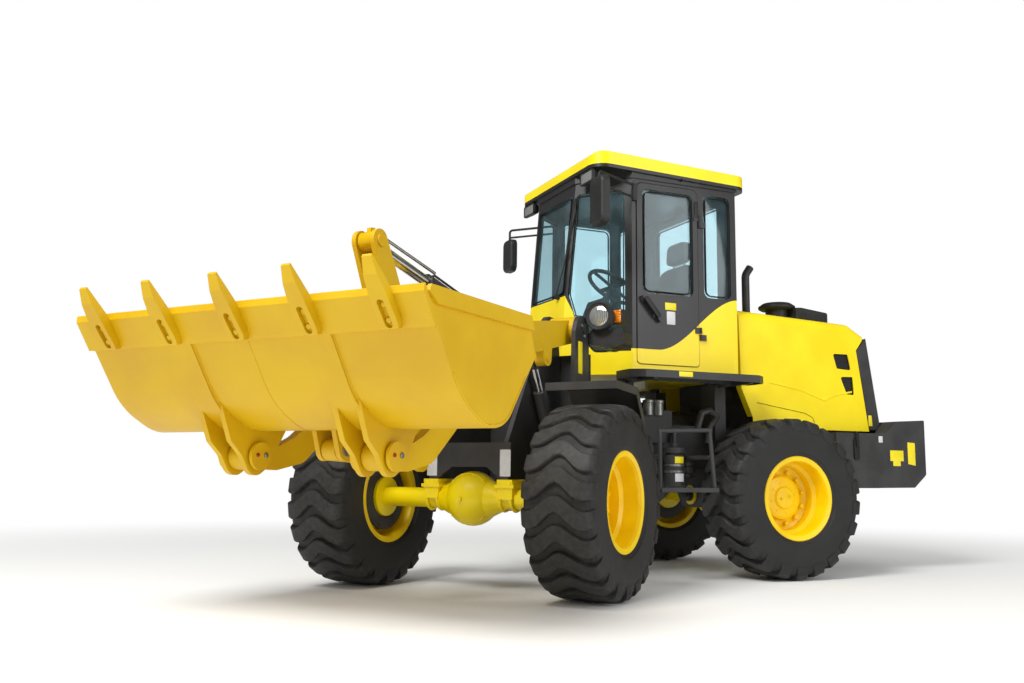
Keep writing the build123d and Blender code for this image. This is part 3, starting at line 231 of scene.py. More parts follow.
# light and dark colour, grain and patch in mm, bump, roughness span, then coat or metallic
lookKeys = ("light", "dark", "grain", "patch", "bump", "rough")
coated = {
    # polyurethane enamel on sheet steel, glossy and even
    "yellowEnamel": ("#FFE600", "#F9DC00", 3.0, 260, 0.05, (0.30, 0.42), 0.08),
    # the same enamel on rolled plate, a shade warmer
    "bucketEnamel": ("#DDB500", "#D5A900", 5.0, 320, 0.08, (0.40, 0.52), 0.0),
    "rimEnamel": ("#FFD800", "#F6CB00", 3.0, 160, 0.06, (0.30, 0.42), 0.08),
    # semi-gloss chassis enamel, thin over plate
    "blackEnamel": ("#3C3C3C", "#313131", 4.0, 180, 0.08, (0.40, 0.54), 0.05),
    # injection-moulded ABS with a fine spark texture
    "mouldedAbs": ("#2B2B2B", "#232323", 1.6, 90, 0.2, (0.45, 0.58), 0.0),
    # EPDM seal, soft and matt
    "sealRubber": ("#151515", "#0F0F0F", 2.0, 60, 0.1, (0.5, 0.65), 0.0),
    # woven-backed vinyl for the seat
    "grainedVinyl": ("#34363A", "#27292C", 3.5, 70, 0.35, (0.5, 0.62), 0.0),
    # blank adhesive plates
    "yellowPlate": ("#F6E11A", "#F0DA10", 1.5, 40, 0.02, (0.35, 0.45), 0.3),
    "palePlate": ("#D9DADB", "#CDCECF", 1.5, 40, 0.02, (0.35, 0.45), 0.2),
    "amberLens": ("#E8860C", "#D6760A", 4.0, 30, 0.3, (0.12, 0.2), 0.6),
    "redLens": ("#B01812", "#98140F", 4.0, 30, 0.3, (0.12, 0.2), 0.6),
}
metallic = {
    # sand-cast iron under thin grey paint
    "castIron": ("#4B4B4A", "#393938", 2.5, 80, 0.5, (0.55, 0.7), 0.35),
    # hard chrome, ground and polished
    "hardChrome": ("#D9DBDD", "#CACCCE", 1.2, 60, 0.02, (0.08, 0.16), 1.0),
    # zinc-plated steel for pins, nuts and handles
    "platedSteel": ("#A9A9A6", "#8E8E8B", 1.5, 40, 0.1, (0.3, 0.45), 0.9),
    # aluminised exhaust steel, painted dark
    "exhaustSteel": ("#4A4A4C", "#38383A", 2.5, 120, 0.15, (0.42, 0.58), 0.3),
    # silvered reflector and mirror glass
    "silvered": ("#EDEFF0", "#E2E4E6", 6.0, 50, 0.03, (0.03, 0.08), 1.0),
}
finishes = {name: dict(zip((*lookKeys, "coat"), row)) for name, row in coated.items()}
metals = {name: dict(zip((*lookKeys, "metallic"), row)) for name, row in metallic.items()}

materials = {name: paintFinish(name, look) for name, look in finishes.items()}
materials.update({name: metalFinish(name, look) for name, look in metals.items()})

# two-tone cab enamel: charcoal above a line that sweeps up to the rear edge
cabPaint = {
    "yellow": ("#FFE600", "#F9DC00"), "charcoal": ("#282828", "#212121"),
    "lineLow": 1523, "lineHigh": 1914, "sweep": (400, 1075),
    # ahead of the doors the line falls from the windscreen's foot to the corners
    "cowlLine": 1902, "cowlLow": 1506, "cowlSpan": (283, 432), "cowlEnd": 198,
    "trimPlane": 607.2, "coat": 0.12, "coatRough": 0.08,
}


def startCabPaint(name):
    material, tree, place, shader = startMaterial(name)
    patch = surfaceGrain(tree, place, shader, finishes["yellowEnamel"])
    yellow, charcoal = (driftColour(tree, patch, *cabPaint[tone]) for tone in ("yellow", "charcoal"))
    shader.inputs["Coat Weight"].default_value = cabPaint["coat"]
    axes = addNode(tree, "ShaderNodeSeparateXYZ", links={"Vector": place})
    return material, tree, shader, yellow, charcoal, axes


def cabEnamel(look):
    material, tree, shader, yellow, charcoal, axes = startCabPaint("twoToneEnamel")
    shiftY = pivotPlace.y
    front, back = (y / 1000 + shiftY for y in look["sweep"])
    sweep = addNode(tree, "ShaderNodeMapRange", interpolation_type="SMOOTHSTEP",
                    links={"Value": axes.outputs["Y"]},
                    values={"From Min": front, "From Max": back,
                            "To Min": look["lineLow"] / 1000, "To Max": look["lineHigh"] / 1000})
    aside = addNode(tree, "ShaderNodeMath", operation="SUBTRACT",
                    links={0: axes.outputs["X"]}, values={1: pivotPlace.x})
    aside = addNode(tree, "ShaderNodeMath", operation="ABSOLUTE", links={0: aside.outputs[0]})
    fall = addNode(tree, "ShaderNodeMapRange", links={"Value": aside.outputs[0]},
                   values={"From Min": look["cowlSpan"][0] / 1000, "From Max": look["cowlSpan"][1] / 1000,
                           "To Min": look["cowlLine"] / 1000, "To Max": look["cowlLow"] / 1000})
    ahead = addNode(tree, "ShaderNodeMath", operation="LESS_THAN",
                    links={0: axes.outputs["Y"]}, values={1: shiftY + look["cowlEnd"] / 1000})
    line = addNode(tree, "ShaderNodeMix", data_type="FLOAT",
                   links={"Factor": ahead.outputs[0], "A": sweep.outputs[0], "B": fall.outputs["Result"]})
    above = addNode(tree, "ShaderNodeMath", operation="GREATER_THAN",
                    links={0: axes.outputs["Z"], 1: line.outputs["Result"]})
    # handles and hinges stand proud of the wall and stay charcoal
    proud = addNode(tree, "ShaderNodeMath", operation="GREATER_THAN",
                    links={0: aside.outputs[0]}, values={1: look["trimPlane"] / 1000})
    dark = addNode(tree, "ShaderNodeMath", operation="MAXIMUM",
                   links={0: above.outputs[0], 1: proud.outputs[0]})
    mix = addNode(tree, "ShaderNodeMix", data_type="RGBA",
                  links={"Factor": dark.outputs[0], "A": yellow, "B": charcoal})
    tree.links.new(mix.outputs["Result"], shader.inputs["Base Color"])
    shader.inputs["Coat Roughness"].default_value = look["coatRough"]
    return material


def tintedGlass(look):
    # laminated glass with a faint green-blue tint, and a faint patchy film in sky blue: painted sky light on
    # the pane, with dust in its patches
    material, tree, place, shader = startMaterial("tintedGlass")
    clear = addNode(tree, "ShaderNodeBsdfTransparent", values={"Color": sceneLinear(look["tint"])})
    film = addNode(tree, "ShaderNodeTexNoise", values={"Scale": 6.0, "Detail": 2.0}, links={"Vector": place})
    # patchy strength of the sky-blue film: painted sky light, with dust
    dust = addNode(tree, "ShaderNodeMapRange", links={"Value": film.outputs["Fac"]},
                   values={"From Min": 0.3, "From Max": 0.7,
                           "To Min": look["haze"][0], "To Max": look["haze"][1]})
    # the film's sky-blue colour is painted sky light
    haze = addNode(tree, "ShaderNodeBsdfDiffuse", values={"Color": sceneLinear(look["sky"])})
    body = addNode(tree, "ShaderNodeMixShader", links={0: dust.outputs["Result"], 1: clear.outputs[0],
                                                       2: haze.outputs[0]})
    gloss = addNode(tree, "ShaderNodeBsdfAnisotropic", values={"Roughness": 0.03})
    # the pane doesn't bend light, so its inner faces reflect no more than its outer ones
    facing = addNode(tree, "ShaderNodeNewGeometry")
    index = addNode(tree, "ShaderNodeMapRange", links={"Value": facing.outputs["Backfacing"]},
                    values={"To Min": 1.52, "To Max": 1 / 1.52})
    shine = addNode(tree, "ShaderNodeFresnel", links={"IOR": index.outputs["Result"]})
    both = addNode(tree, "ShaderNodeMixShader",
                   links={0: shine.outputs[0], 1: body.outputs[0], 2: gloss.outputs[0]})
    end = next(node for node in tree.nodes if node.type == "OUTPUT_MATERIAL")
    tree.links.new(both.outputs[0], end.inputs["Surface"])
    tree.nodes.remove(shader)
    return material


def lensGlass():
    # pressed lamp glass over a reflector
    material, tree, place, shader = startMaterial("pressedGlass")
    ribs = addNode(tree, "ShaderNodeTexWave", wave_type="BANDS", bands_direction="X",
                   values={"Scale": 40.0, "Distortion": 1.0}, links={"Vector": place})
    bump = addNode(tree, "ShaderNodeBump", values={"Strength": 0.4, "Distance": 0.001},
                   links={"Height": ribs.outputs["Fac"]})
    tree.links.new(bump.outputs["Normal"], shader.inputs["Normal"])
    tone = driftColour(tree, ribs.outputs["Fac"], "#C6C8C4", "#8B8D8A", 0.1, 0.9)
    tree.links.new(tone, shader.inputs["Base Color"])
    shader.inputs["Roughness"].default_value = 0.08
    shader.inputs["Metallic"].default_value = 0.55
    shader.inputs["Coat Weight"].default_value = 1.0
    return material


def tyreRubber():
    # carbon-black rubber, dusty on the treads and dull on the walls
    material, tree, place, shader = startMaterial("tyreRubber")
    look = {"grain": 4.0, "patch": 120, "bump": 0.35, "rough": (0.55, 0.75)}
    patch = surfaceGrain(tree, place, shader, look)
    height = addNode(tree, "ShaderNodeAttribute", attribute_name="tread")
    spots = addNode(tree, "ShaderNodeTexNoise", links={"Vector": place},
                    values={"Scale": 34.0, "Detail": 6.0})
    mixed = addNode(tree, "ShaderNodeMath", operation="MULTIPLY",
                    links={0: height.outputs["Fac"], 1: spots.outputs["Fac"]})
    walls = driftColour(tree, patch, "#262626", "#191919")
    worn = addNode(tree, "ShaderNodeMapRange", links={"Value": mixed.outputs[0]},
                   values={"From Min": 0.2, "From Max": 0.75, "To Min": 0.0, "To Max": 0.55})
    mix = addNode(tree, "ShaderNodeMix", data_type="RGBA",
                  links={"Factor": worn.outputs["Result"], "A": walls}, values={"B": sceneLinear("#484745")})
    tree.links.new(mix.outputs["Result"], shader.inputs["Base Color"])
    shader.inputs["IOR"].default_value = 1.5
    return material


# yellow fascia and top over a charcoal underside: the underside's charcoal is its paint, and the charcoal
# band along the fascia's foot, below the edge line, is painted shade of the gap under the lip
roofPaintAndShade = {"edge": 2772.0, "front": -86, "fall": 32 / 1239}


def roofEnamelAndShade(look):
    material, tree, shader, yellow, charcoal, axes = startCabPaint("roofEnamelAndShade")
    height = addNode(tree, "ShaderNodeMath", operation="MULTIPLY_ADD",
                     links={0: axes.outputs["Y"], 2: axes.outputs["Z"]}, values={1: look["fall"]})
    level = look["edge"] / 1000 + look["fall"] * (look["front"] / 1000 + pivotPlace.y)
    above = addNode(tree, "ShaderNodeMath", operation="GREATER_THAN",
                    links={0: height.outputs[0]}, values={1: level})
    # charcoal below the edge line: the underside's paint, with painted shade in the band at the fascia's foot
    mix = addNode(tree, "ShaderNodeMix", data_type="RGBA",
                  links={"Factor": above.outputs[0], "A": charcoal, "B": yellow})
    tree.links.new(mix.outputs["Result"], shader.inputs["Base Color"])
    return material


def cylinderRod(name, eye, radius, paint):
    # chromed rod with an enamelled eye: paint within a radius of the eye's axis
    material, tree, place, shader = startMaterial(name)
    look = metals["hardChrome"]
    patch = surfaceGrain(tree, place, shader, look)
    chrome = driftColour(tree, patch, look["light"], look["dark"])
    enamel = driftColour(tree, patch, finishes[paint]["light"], finishes[paint]["dark"])
    spot = frontPlace @ Vector((0, -eye[0], eye[1]))
    across = frontPlace.to_3x3() @ Vector((1, 0, 0))
    away = addNode(tree, "ShaderNodeVectorMath", operation="SUBTRACT", links={0: place}, values={1: spot})
    cross = addNode(tree, "ShaderNodeVectorMath", operation="CROSS_PRODUCT",
                    links={0: away.outputs[0]}, values={1: across.normalized()})
    reach = addNode(tree, "ShaderNodeVectorMath", operation="LENGTH", links={0: cross.outputs[0]})
    near = addNode(tree, "ShaderNodeMath", operation="LESS_THAN",
                   links={0: reach.outputs["Value"]}, values={1: radius / 1000})
    mix = addNode(tree, "ShaderNodeMix", data_type="RGBA",
                  links={"Factor": near.outputs[0], "A": chrome, "B": enamel})
    tree.links.new(mix.outputs["Result"], shader.inputs["Base Color"])
    bare = addNode(tree, "ShaderNodeMath", operation="SUBTRACT", values={0: 1.0}, links={1: near.outputs[0]})
    tree.links.new(bare.outputs[0], shader.inputs["Metallic"])
    return material


materials["roofEnamelAndShade"] = roofEnamelAndShade(roofPaintAndShade)
materials["tiltRodFinish"] = cylinderRod("tiltRodFinish", (2345, 1855), 110, "bucketEnamel")
materials["liftRodFinish"] = cylinderRod("liftRodFinish", (1130, 1370), 70, "blackEnamel")
materials["twoToneEnamel"] = cabEnamel(cabPaint)
materials["tintedGlass"] = tintedGlass({"tint": "#EDFAFD", "haze": (0.01, 0.045), "sky": "#C8F0FA"})
materials["pressedGlass"] = lensGlass()
materials["tyreRubber"] = tyreRubber()

slotFinish = {
    "yellow_paint": "yellowEnamel", "bucket_yellow": "bucketEnamel", "rim_yellow": "rimEnamel",
    "black_paint": "blackEnamel", "black_plastic": "mouldedAbs", "black_vinyl": "grainedVinyl",
    "cast_iron": "castIron", "chrome_rod": "hardChrome", "steel_pin": "platedSteel",
    "wear_steel": "bucketEnamel", "exhaust_steel": "exhaustSteel", "tinted_glass": "tintedGlass",
    "tyre_rubber": "tyreRubber",
}
nodeFinish = {"cab_shell": "twoToneEnamel", "door": "twoToneEnamel", "cab_roof": "roofEnamelAndShade",
              "tilt_rod": "tiltRodFinish", "lift_rods": "liftRodFinish", "platforms": "blackEnamel",
              "bucket_pins": "bucketEnamel"}


def dressNodes():
    for node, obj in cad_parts.items():
        for held in obj.material_slots:
            slotName = held.material.name.split(".")[0] if held.material else ""
            finish = nodeFinish.get(node) or slotFinish.get(slotName)
            if finish is None:
                print("no finish for", node, slotName)
                continue
            held.material = materials[finish]


dressNodes()
print("materials made")


# mesh helpers
def addPrism(bm, outline, low, high, toPoint):
    # outline: (u, v) points, toPoint(u, v, w): the 3-D point at depth w
    near = [bm.verts.new(toPoint(u, v, low)) for u, v in outline]
    far = [bm.verts.new(toPoint(u, v, high)) for u, v in outline]
    bm.faces.new(near)
    bm.faces.new(list(reversed(far)))
    count = len(outline)
    for i in range(count):
        j = (i + 1) % count
        bm.faces.new((near[i], far[i], far[j], near[j]))


def upright(u, v, w):
    return (u, v, w)


def addBox(bm, x, y, z):
    addPrism(bm, [(x[0], y[0]), (x[1], y[0]), (x[1], y[1]), (x[0], y[1])], *z, upright)


def bridge(bm, one, other):
    # a band of faces between two loops with the same number of points
    for k in range(len(one)):
        m = (k + 1) % len(one)
        bm.faces.new((one[k], one[m], other[m], other[k]))


def addTube(bm, points, radius, sides=10, closed=False):
    # round tube along a polyline, mitred at its corners
    points = [Vector(p) for p in points]
    count = len(points)
    rings = []
    normal = None
    for i, here in enumerate(points):
        before = points[i - 1] if i or closed else None
        after = points[(i + 1) % count] if i < count - 1 or closed else None
        into = (here - before).normalized() if before is not None else (after - here).normalized()
        out = (after - here).normalized() if after is not None else into
        along = (into + out).normalized()
        if normal is None:
            normal = along.orthogonal().normalized()
        normal = (normal - along * normal.dot(along)).normalized()
        side = along.cross(normal)
        stretch = min(1 / max(along.dot(into), 0.5), 1.3)
        ring = []
        for k in range(sides):
            angle = math.tau * k / sides
            spoke = normal * math.cos(angle) + side * math.sin(angle)
            ring.append(bm.verts.new(here + spoke * radius * stretch))
        rings.append(ring)
    for i in range(count if closed else count - 1):
        bridge(bm, rings[i], rings[(i + 1) % count])
    if not closed:
        bm.faces.new(list(reversed(rings[0])))
        bm.faces.new(rings[-1])


def addTurned(bm, profile, centre, axis, sides=24, closed=False):
    # (along, radius) profile turned about an axis through centre
    axis = Vector(axis).normalized()
    normal = axis.orthogonal().normalized()
    side = axis.cross(normal)
    centre = Vector(centre)
    rings = []
    for along, radius in profile:
        if radius < 1e-6:
            rings.append([bm.verts.new(centre + axis * along)])
            continue
        rings.append([bm.verts.new(centre + axis * along + (normal * math.cos(math.tau * k / sides)
                      + side * math.sin(math.tau * k / sides)) * radius) for k in range(sides)])
    pairs = list(zip(rings, rings[1:]))
    if closed:
        pairs.append((rings[-1], rings[0]))
    for one, other in pairs:
        for k in range(sides):
            m = (k + 1) % sides
            if len(one) == 1 and len(other) > 1:
                bm.faces.new((one[0], other[m], other[k]))
            elif len(other) == 1 and len(one) > 1:
                bm.faces.new((one[k], one[m], other[0]))
            elif len(one) > 1:
                bm.faces.new((one[k], one[m], other[m], other[k]))


def roundedRect(x0, x1, y0, y1, radius, steps=5):
    points = []
    for cx, cy, start in ((x1 - radius, y1 - radius, 0), (x0 + radius, y1 - radius, 90),
                          (x0 + radius, y0 + radius, 180), (x1 - radius, y0 + radius, 270)):
        for k in range(steps + 1):
            angle = math.radians(start + 90 * k / steps)
            points.append((cx + radius * math.cos(angle), cy + radius * math.sin(angle)))
    return points


def shadeByAngle(bm, sharp):
    bmesh.ops.recalc_face_normals(bm, faces=bm.faces)
    for face in bm.faces:
        face.smooth = True
    for edge in bm.edges:
        edge.smooth = len(edge.link_faces) != 2 or edge.calc_face_angle() < math.radians(sharp)


def finishPiece(name, bm, place, finish, body, bevel=0.0, sharp=35):
    bmesh.ops.remove_doubles(bm, verts=bm.verts, dist=1e-4)
    if bevel:
        edges = [e for e in bm.edges if len(e.link_faces) == 2 and e.calc_face_angle() > math.radians(sharp)]
        bmesh.ops.bevel(bm, geom=edges, offset=bevel, segments=2, profile=0.5, affect="EDGES",
                        clamp_overlap=True)
    shadeByAngle(bm, sharp)
    mesh = bpy.data.meshes.new(name)
    bm.to_mesh(mesh)
    bm.free()
    mesh.transform(place)
    mesh.materials.append(materials[finish])
    return addPieceObject(name, mesh, body)


def addPieceObject(name, mesh, body):
    obj = bpy.data.objects.new(name, mesh)
    bpy.context.scene.collection.objects.link(obj)
    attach(obj, body)
    return obj


def bakedMesh(obj):
    bpy.context.view_layer.update()
    graph = bpy.context.evaluated_depsgraph_get()
    return bpy.data.meshes.new_from_object(obj.evaluated_get(graph), depsgraph=graph)


def socketKey(tree, name):
    for item in tree.interface.items_tree:
        if item.item_type == "SOCKET" and item.in_out == "INPUT" and item.name == name:
            return item.identifier


# geometry nodes: copies of one shape around an axis
def ringTree():
    tree = bpy.data.node_groups.new("copiesAroundAxis", "GeometryNodeTree")
    for name, kind in (("Geometry", "Geometry"), ("Count", "Int"), ("Start Angle", "Float"),
                       ("Material", "Material")):
        tree.interface.new_socket(name, in_out="INPUT", socket_type="NodeSocket" + kind)
    tree.interface.new_socket("Geometry", in_out="OUTPUT", socket_type="NodeSocketGeometry")
    given = addNode(tree, "NodeGroupInput")
    points = addNode(tree, "GeometryNodePoints", links={"Count": given.outputs["Count"]})
    index = addNode(tree, "GeometryNodeInputIndex")
    step = addNode(tree, "ShaderNodeMath", operation="DIVIDE", values={0: math.tau},
                   links={1: given.outputs["Count"]})
    turn = addNode(tree, "ShaderNodeMath", operation="MULTIPLY_ADD",
                   links={0: index.outputs[0], 1: step.outputs[0], 2: given.outputs["Start Angle"]})
    spin = addNode(tree, "FunctionNodeAxisAngleToRotation", values={"Axis": (1, 0, 0)},
                   links={"Angle": turn.outputs[0]})
    copies = addNode(tree, "GeometryNodeInstanceOnPoints",
                     links={"Points": points.outputs[0], "Instance": given.outputs["Geometry"],
                            "Rotation": spin.outputs[0]})
    real = addNode(tree, "GeometryNodeRealizeInstances", links={"Geometry": copies.outputs[0]})
    dressed = addNode(tree, "GeometryNodeSetMaterial",
                      links={"Geometry": real.outputs[0], "Material": given.outputs["Material"]})
    addNode(tree, "NodeGroupOutput", links={"Geometry": dressed.outputs[0]})
    return tree


aroundAxis = ringTree()


def ringOf(name, bm, count, start, finish):
    # mesh of count copies of bm turned about the X axis
    mesh = bpy.data.meshes.new(name + "One")
    bm.to_mesh(mesh)
    bm.free()
    obj = bpy.data.objects.new(name + "One", mesh)
    bpy.context.scene.collection.objects.link(obj)
    modifier = obj.modifiers.new("copies", "NODES")
    modifier.node_group = aroundAxis
    modifier[socketKey(aroundAxis, "Count")] = count
    modifier[socketKey(aroundAxis, "Start Angle")] = start
    modifier[socketKey(aroundAxis, "Material")] = materials[finish]
    result = bakedMesh(obj)
    bpy.data.objects.remove(obj)
    return result


# tyres
tyre = {
    "wall": ((-172, 258), (-186, 286), (-193, 300), (-199, 304), (-202, 330), (-204, 366), (-205, 400),
             (-204, 436), (-199, 466), (-190, 490), (-172, 503), (-130, 508), (-60, 510)),
    "lugs": 22,
    # across the tread: place, top radius, foot radius, lead along the tread, half width
    "lug": ((0, 537.3, 500, 0, 44), (28, 537.2, 500, 8, 46), (62, 537, 500, 34, 50),
            (100, 536, 500, 66, 52), (134, 534, 498, 84, 50), (166, 530, 494, 88, 48),
            (184, 524, 484, 84, 46), (196, 512, 474, 80, 45), (203, 490, 462, 76, 44),
            (204.5, 462, 448, 74, 42)),
    "chamfer": 6, "flare": 7, "turns": 96, "sharp": 28,
    # crown of the carcass under the lugs, and the bore, as places across and radii
    "crown": 510, "bore": ((150, 254), (130, 300), (-130, 300), (-150, 254)),
    # dust fades in over these radii
    "dust": (470, 60),
}
wheelSpots = {
    "wheel_front_left": (frontPlace, 1, -1260), "wheel_front_right": (frontPlace, -1, -1260),
    "wheel_rear_left": (rearPlace, 1, 1260), "wheel_rear_right": (rearPlace, -1, 1260),
}
wheelSize = {"height": 537.5, "track": 1556}


def wheelMatrix(body):
    place, side, along = wheelSpots[body]
    return place @ Matrix.Translation((side * wheelSize["track"] / 2, along, wheelSize["height"]))


def buildLug(settings):
    # wavy bar right across the tread; angles run up at the front of the wheel
    bm = bmesh.new()
    stations = [(-x, top, foot, lead, half) for x, top, foot, lead, half in reversed(settings["lug"][1:])]
    stations += list(settings["lug"])
    rings = []
    cut, flare = settings["chamfer"], settings["flare"]
    for x, top, foot, lead, half in stations:
        ring = []
        for offset, radius in ((-half - flare, foot), (-half, top - cut), (-half + cut, top),
                               (half - cut, top), (half, top - cut), (half + flare, foot)):
            angle = -math.pi / 2 - (lead + offset) / wheelSize["height"]
            ring.append(bm.verts.new((x, radius * math.sin(angle), radius * math.cos(angle))))
        rings.append(ring)
    for one, other in zip(rings, rings[1:]):
        for k in range(5):
            bm.faces.new((one[k], other[k], other[k + 1], one[k + 1]))
        bm.faces.new((one[5], other[5], other[0], one[0]))
    bm.faces.new(list(reversed(rings[0])))
    bm.faces.new(rings[-1])
    bmesh.ops.recalc_face_normals(bm, faces=bm.faces)
    return bm


def buildTyre(body, settings):
    treads = ringOf(body + "Treads", buildLug(settings), settings["lugs"], 0.0, "tyreRubber")
    bm = bmesh.new()
    half = list(settings["wall"])
    profile = [*half, (0, settings["crown"]), *((-x, r) for x, r in reversed(half)), *settings["bore"]]
    addTurned(bm, profile, (0, 0, 0), (1, 0, 0), sides=settings["turns"], closed=True)
    bm.from_mesh(treads)
    shadeByAngle(bm, settings["sharp"])
    mesh = bpy.data.meshes.new(body + "Tyre")
    bm.to_mesh(mesh)
    bm.free()
    tread = mesh.attributes.new("tread", "FLOAT", "POINT")
    start, span = settings["dust"]
    for vert, value in zip(mesh.vertices, tread.data):
        reach = math.hypot(vert.co.y, vert.co.z)
        value.value = min(max((reach - start) / span, 0), 1)
    mesh.materials.clear()
    mesh.materials.append(materials["tyreRubber"])
    mesh.transform(wheelMatrix(body))
    piece = addPieceObject(body + "Tyre", mesh, body)
    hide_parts(body.replace("wheel_", "tyre_"))


for bodyName in wheelSpots:
    buildTyre(bodyName, tyre)
print("tyres made")


# outlines with rounded corners, as (u, v, corner radius) points
def roundedPoly(points, steps=5):
    found = []
    count = len(points)
    for i, (u, v, radius) in enumerate(points):
        here = Vector((u, v))
        before = (Vector(points[i - 1][:2]) - here).normalized()
        after = (Vector(points[(i + 1) % count][:2]) - here).normalized()
        half = before.angle(after) / 2
        reach = radius / math.tan(half)
        centre = here + (before + after).normalized() * (radius / math.sin(half))
        start = here + before * reach - centre
        end = here + after * reach - centre
        first = math.atan2(start.y, start.x)
        sweep = (math.atan2(end.y, end.x) - first + math.pi) % math.tau - math.pi
        for k in range(steps + 1):
            angle = first + sweep * k / steps
            found.append((centre.x + radius * math.cos(angle), centre.y + radius * math.sin(angle)))
    return found


def insetPoly(points, depth):
    # the lines move inward whatever depth's sign; the sign only changes the corner radii
    count = len(points)
    area = sum(points[i - 1][0] * points[i][1] - points[i][0] * points[i - 1][1] for i in range(count))
    lines = []
    for i in range(count):
        start = Vector(points[i][:2])
        along = (Vector(points[(i + 1) % count][:2]) - start).normalized()
        lines.append((start + Vector((-along.y, along.x)) * math.copysign(depth, area), along))
    moved = []
    for i in range(count):
        (spot, one), (other, two) = lines[i - 1], lines[i]
        gap = other - spot
        reach = (gap.x * two.y - gap.y * two.x) / (one.x * two.y - one.y * two.x)
        corner = spot + one * reach
        moved.append((corner.x, corner.y, max(points[i][2] - depth, 4)))
    return moved


def addRing(bm, outer, inner, low, high, toPoint):
    loops = []
    for points, depth in ((outer, low), (outer, high), (inner, high), (inner, low)):
        loops.append([bm.verts.new(toPoint(u, v, depth)) for u, v in points])
    for one, other in zip(loops, loops[1:] + loops[:1]):
        bridge(bm, one, other)


# window seals
cab = {
    "half": 600, "doorFace": 606, "floor": 1349, "top": 2700, "rear": 1060, "shoulder": 205,
    "frontLow": (276, -190), "frontHigh": (302, -69),
    "centre": [(-262, 1912, 30), (262, 1912, 30), (276, 2622, 30), (-276, 2622, 30)],
    "door": [(284, 1908, 45), (692, 1908, 45), (692, 2632, 45), (284, 2632, 45)],
    "quarter": [(786, 1912, 45), (1012, 1912, 45), (1012, 2650, 45), (786, 2650, 45)],
    "rightSide": [(276, 1912, 45), (706, 1912, 45), (706, 2650, 45), (276, 2650, 45)],
    "back": [(-430, 1930, 45), (430, 1930, 45), (430, 2640, 45), (-430, 2640, 45)],
    # from the front edge of the slanted panel: along it, up it
    "slant": [(62.3, 563, 30), (150, 260, 60), (250, 150, 50), (462, 150, 70), (462, 1273, 40),
              (119.6, 1273, 30)],
}
seal = {"outside": 11, "inside": 17, "proud": 6, "sunk": 13}


def frontFace(u, v, w):
    share = (v - cab["floor"]) / (cab["top"] - cab["floor"])
    y = cab["frontLow"][1] + (cab["frontHigh"][1] - cab["frontLow"][1]) * share
    return (u, y - w, v)


def slantFace(side):
    low, high = cab["frontLow"], cab["frontHigh"]
    start = Vector((side * low[0], low[1], cab["floor"]))
    along = (Vector((side * cab["half"], cab["shoulder"], cab["floor"])) - start).normalized()
    rise = Vector((side * high[0], high[1], cab["top"])) - start
    normal = (along.cross(rise) * side).normalized()
    up = (rise - along * rise.dot(along)).normalized()
    return lambda u, v, w: tuple(start + along * u + up * v + normal * w)


def sideFace(side, plane):
    return lambda u, v, w: (side * (plane + w), u, v)


def addSeal(bm, points, toPoint):
    outer = roundedPoly(insetPoly(points, -seal["outside"]))
    inner = roundedPoly(insetPoly(points, seal["inside"]))
    addRing(bm, outer, inner, -seal["sunk"], seal["proud"], toPoint)


def buildSeals():
    bm = bmesh.new()
    addSeal(bm, cab["centre"], frontFace)
    for side in (1, -1):
        addSeal(bm, cab["slant"], slantFace(side))
        addSeal(bm, cab["quarter"], sideFace(side, cab["half"]))
    addSeal(bm, cab["rightSide"], sideFace(-1, cab["half"]))
    addSeal(bm, cab["back"], lambda u, v, w: (u, cab["rear"] + w, v))
    finishPiece("windowSeals", bm, rearPlace, "sealRubber", "chassis", bevel=2.5)
    bm = bmesh.new()
    addSeal(bm, cab["door"], sideFace(1, cab["doorFace"]))
    finishPiece("doorSeal", bm, rearPlace, "sealRubber", "door", bevel=2.5)


buildSeals()
print("seals made")

# wiper, mirrors' glass, lifting eye, work lamps
wiper = {
    "pivot": (184, 1905), "elbow": (352, 2290), "lift": 26, "arm": 4.5,
    "blade": ((262, 2150), (345, 2585)), "bladeLift": 12, "bow": 8, "rubber": 6, "spine": 3, "spineSet": 9,
}


def buildWiper(settings):
    bm = bmesh.new()
    lift = settings["lift"]
    pivot = Vector(frontFace(*settings["pivot"], lift))
    elbow = Vector(frontFace(*settings["elbow"], lift))
    foot = Vector(frontFace(*settings["pivot"], 0))
    addTube(bm, [pivot, elbow], settings["arm"], 8)
    addTurned(bm, [(-lift, 0), (-lift, 19), (-6, 17), (6, 13), (10, 0)], pivot, (foot - pivot) * -1, 16)
    low, high = (Vector(frontFace(*end, settings["bladeLift"])) for end in settings["blade"])
    middle = low.lerp(high, 0.5) + Vector((0, -settings["bow"], 0))
    addTube(bm, [low, middle, high], settings["rubber"], 8)
    behind = Vector((0, settings["spineSet"], 0))
    addTube(bm, [low + behind, high + behind], settings["spine"], 6)
    finishPiece("wiper", bm, rearPlace, "mouldedAbs", "chassis")


buildWiper(wiper)

mirrors = (
    {"name": "mirrorGlassLeft", "x": 790, "y": -119, "low": 2283, "high": 2609, "width": 180},
    {"name": "mirrorGlassRight", "x": -905, "y": -21, "low": 2294, "high": 2560, "width": 170},
)
mirrorGlass = {"margin": 13, "corner": 38, "thickness": 1.8}
for held in mirrors:
    sheet = bmesh.new()
    x, y, margin = held["x"], held["y"], mirrorGlass["margin"]
    half = held["width"] / 2 - margin
    outline = roundedRect(x - half, x + half, held["low"] + margin, held["high"] - margin,
                          mirrorGlass["corner"])
    addPrism(sheet, outline, 0, mirrorGlass["thickness"], lambda u, v, w: (u, y + w, v))
    finishPiece(held["name"], sheet, rearPlace, "silvered", "chassis", bevel=0.6)

liftingEye = {"place": (515, 1048), "foot": 2792, "centre": 2824, "ring": 24, "bar": 8}


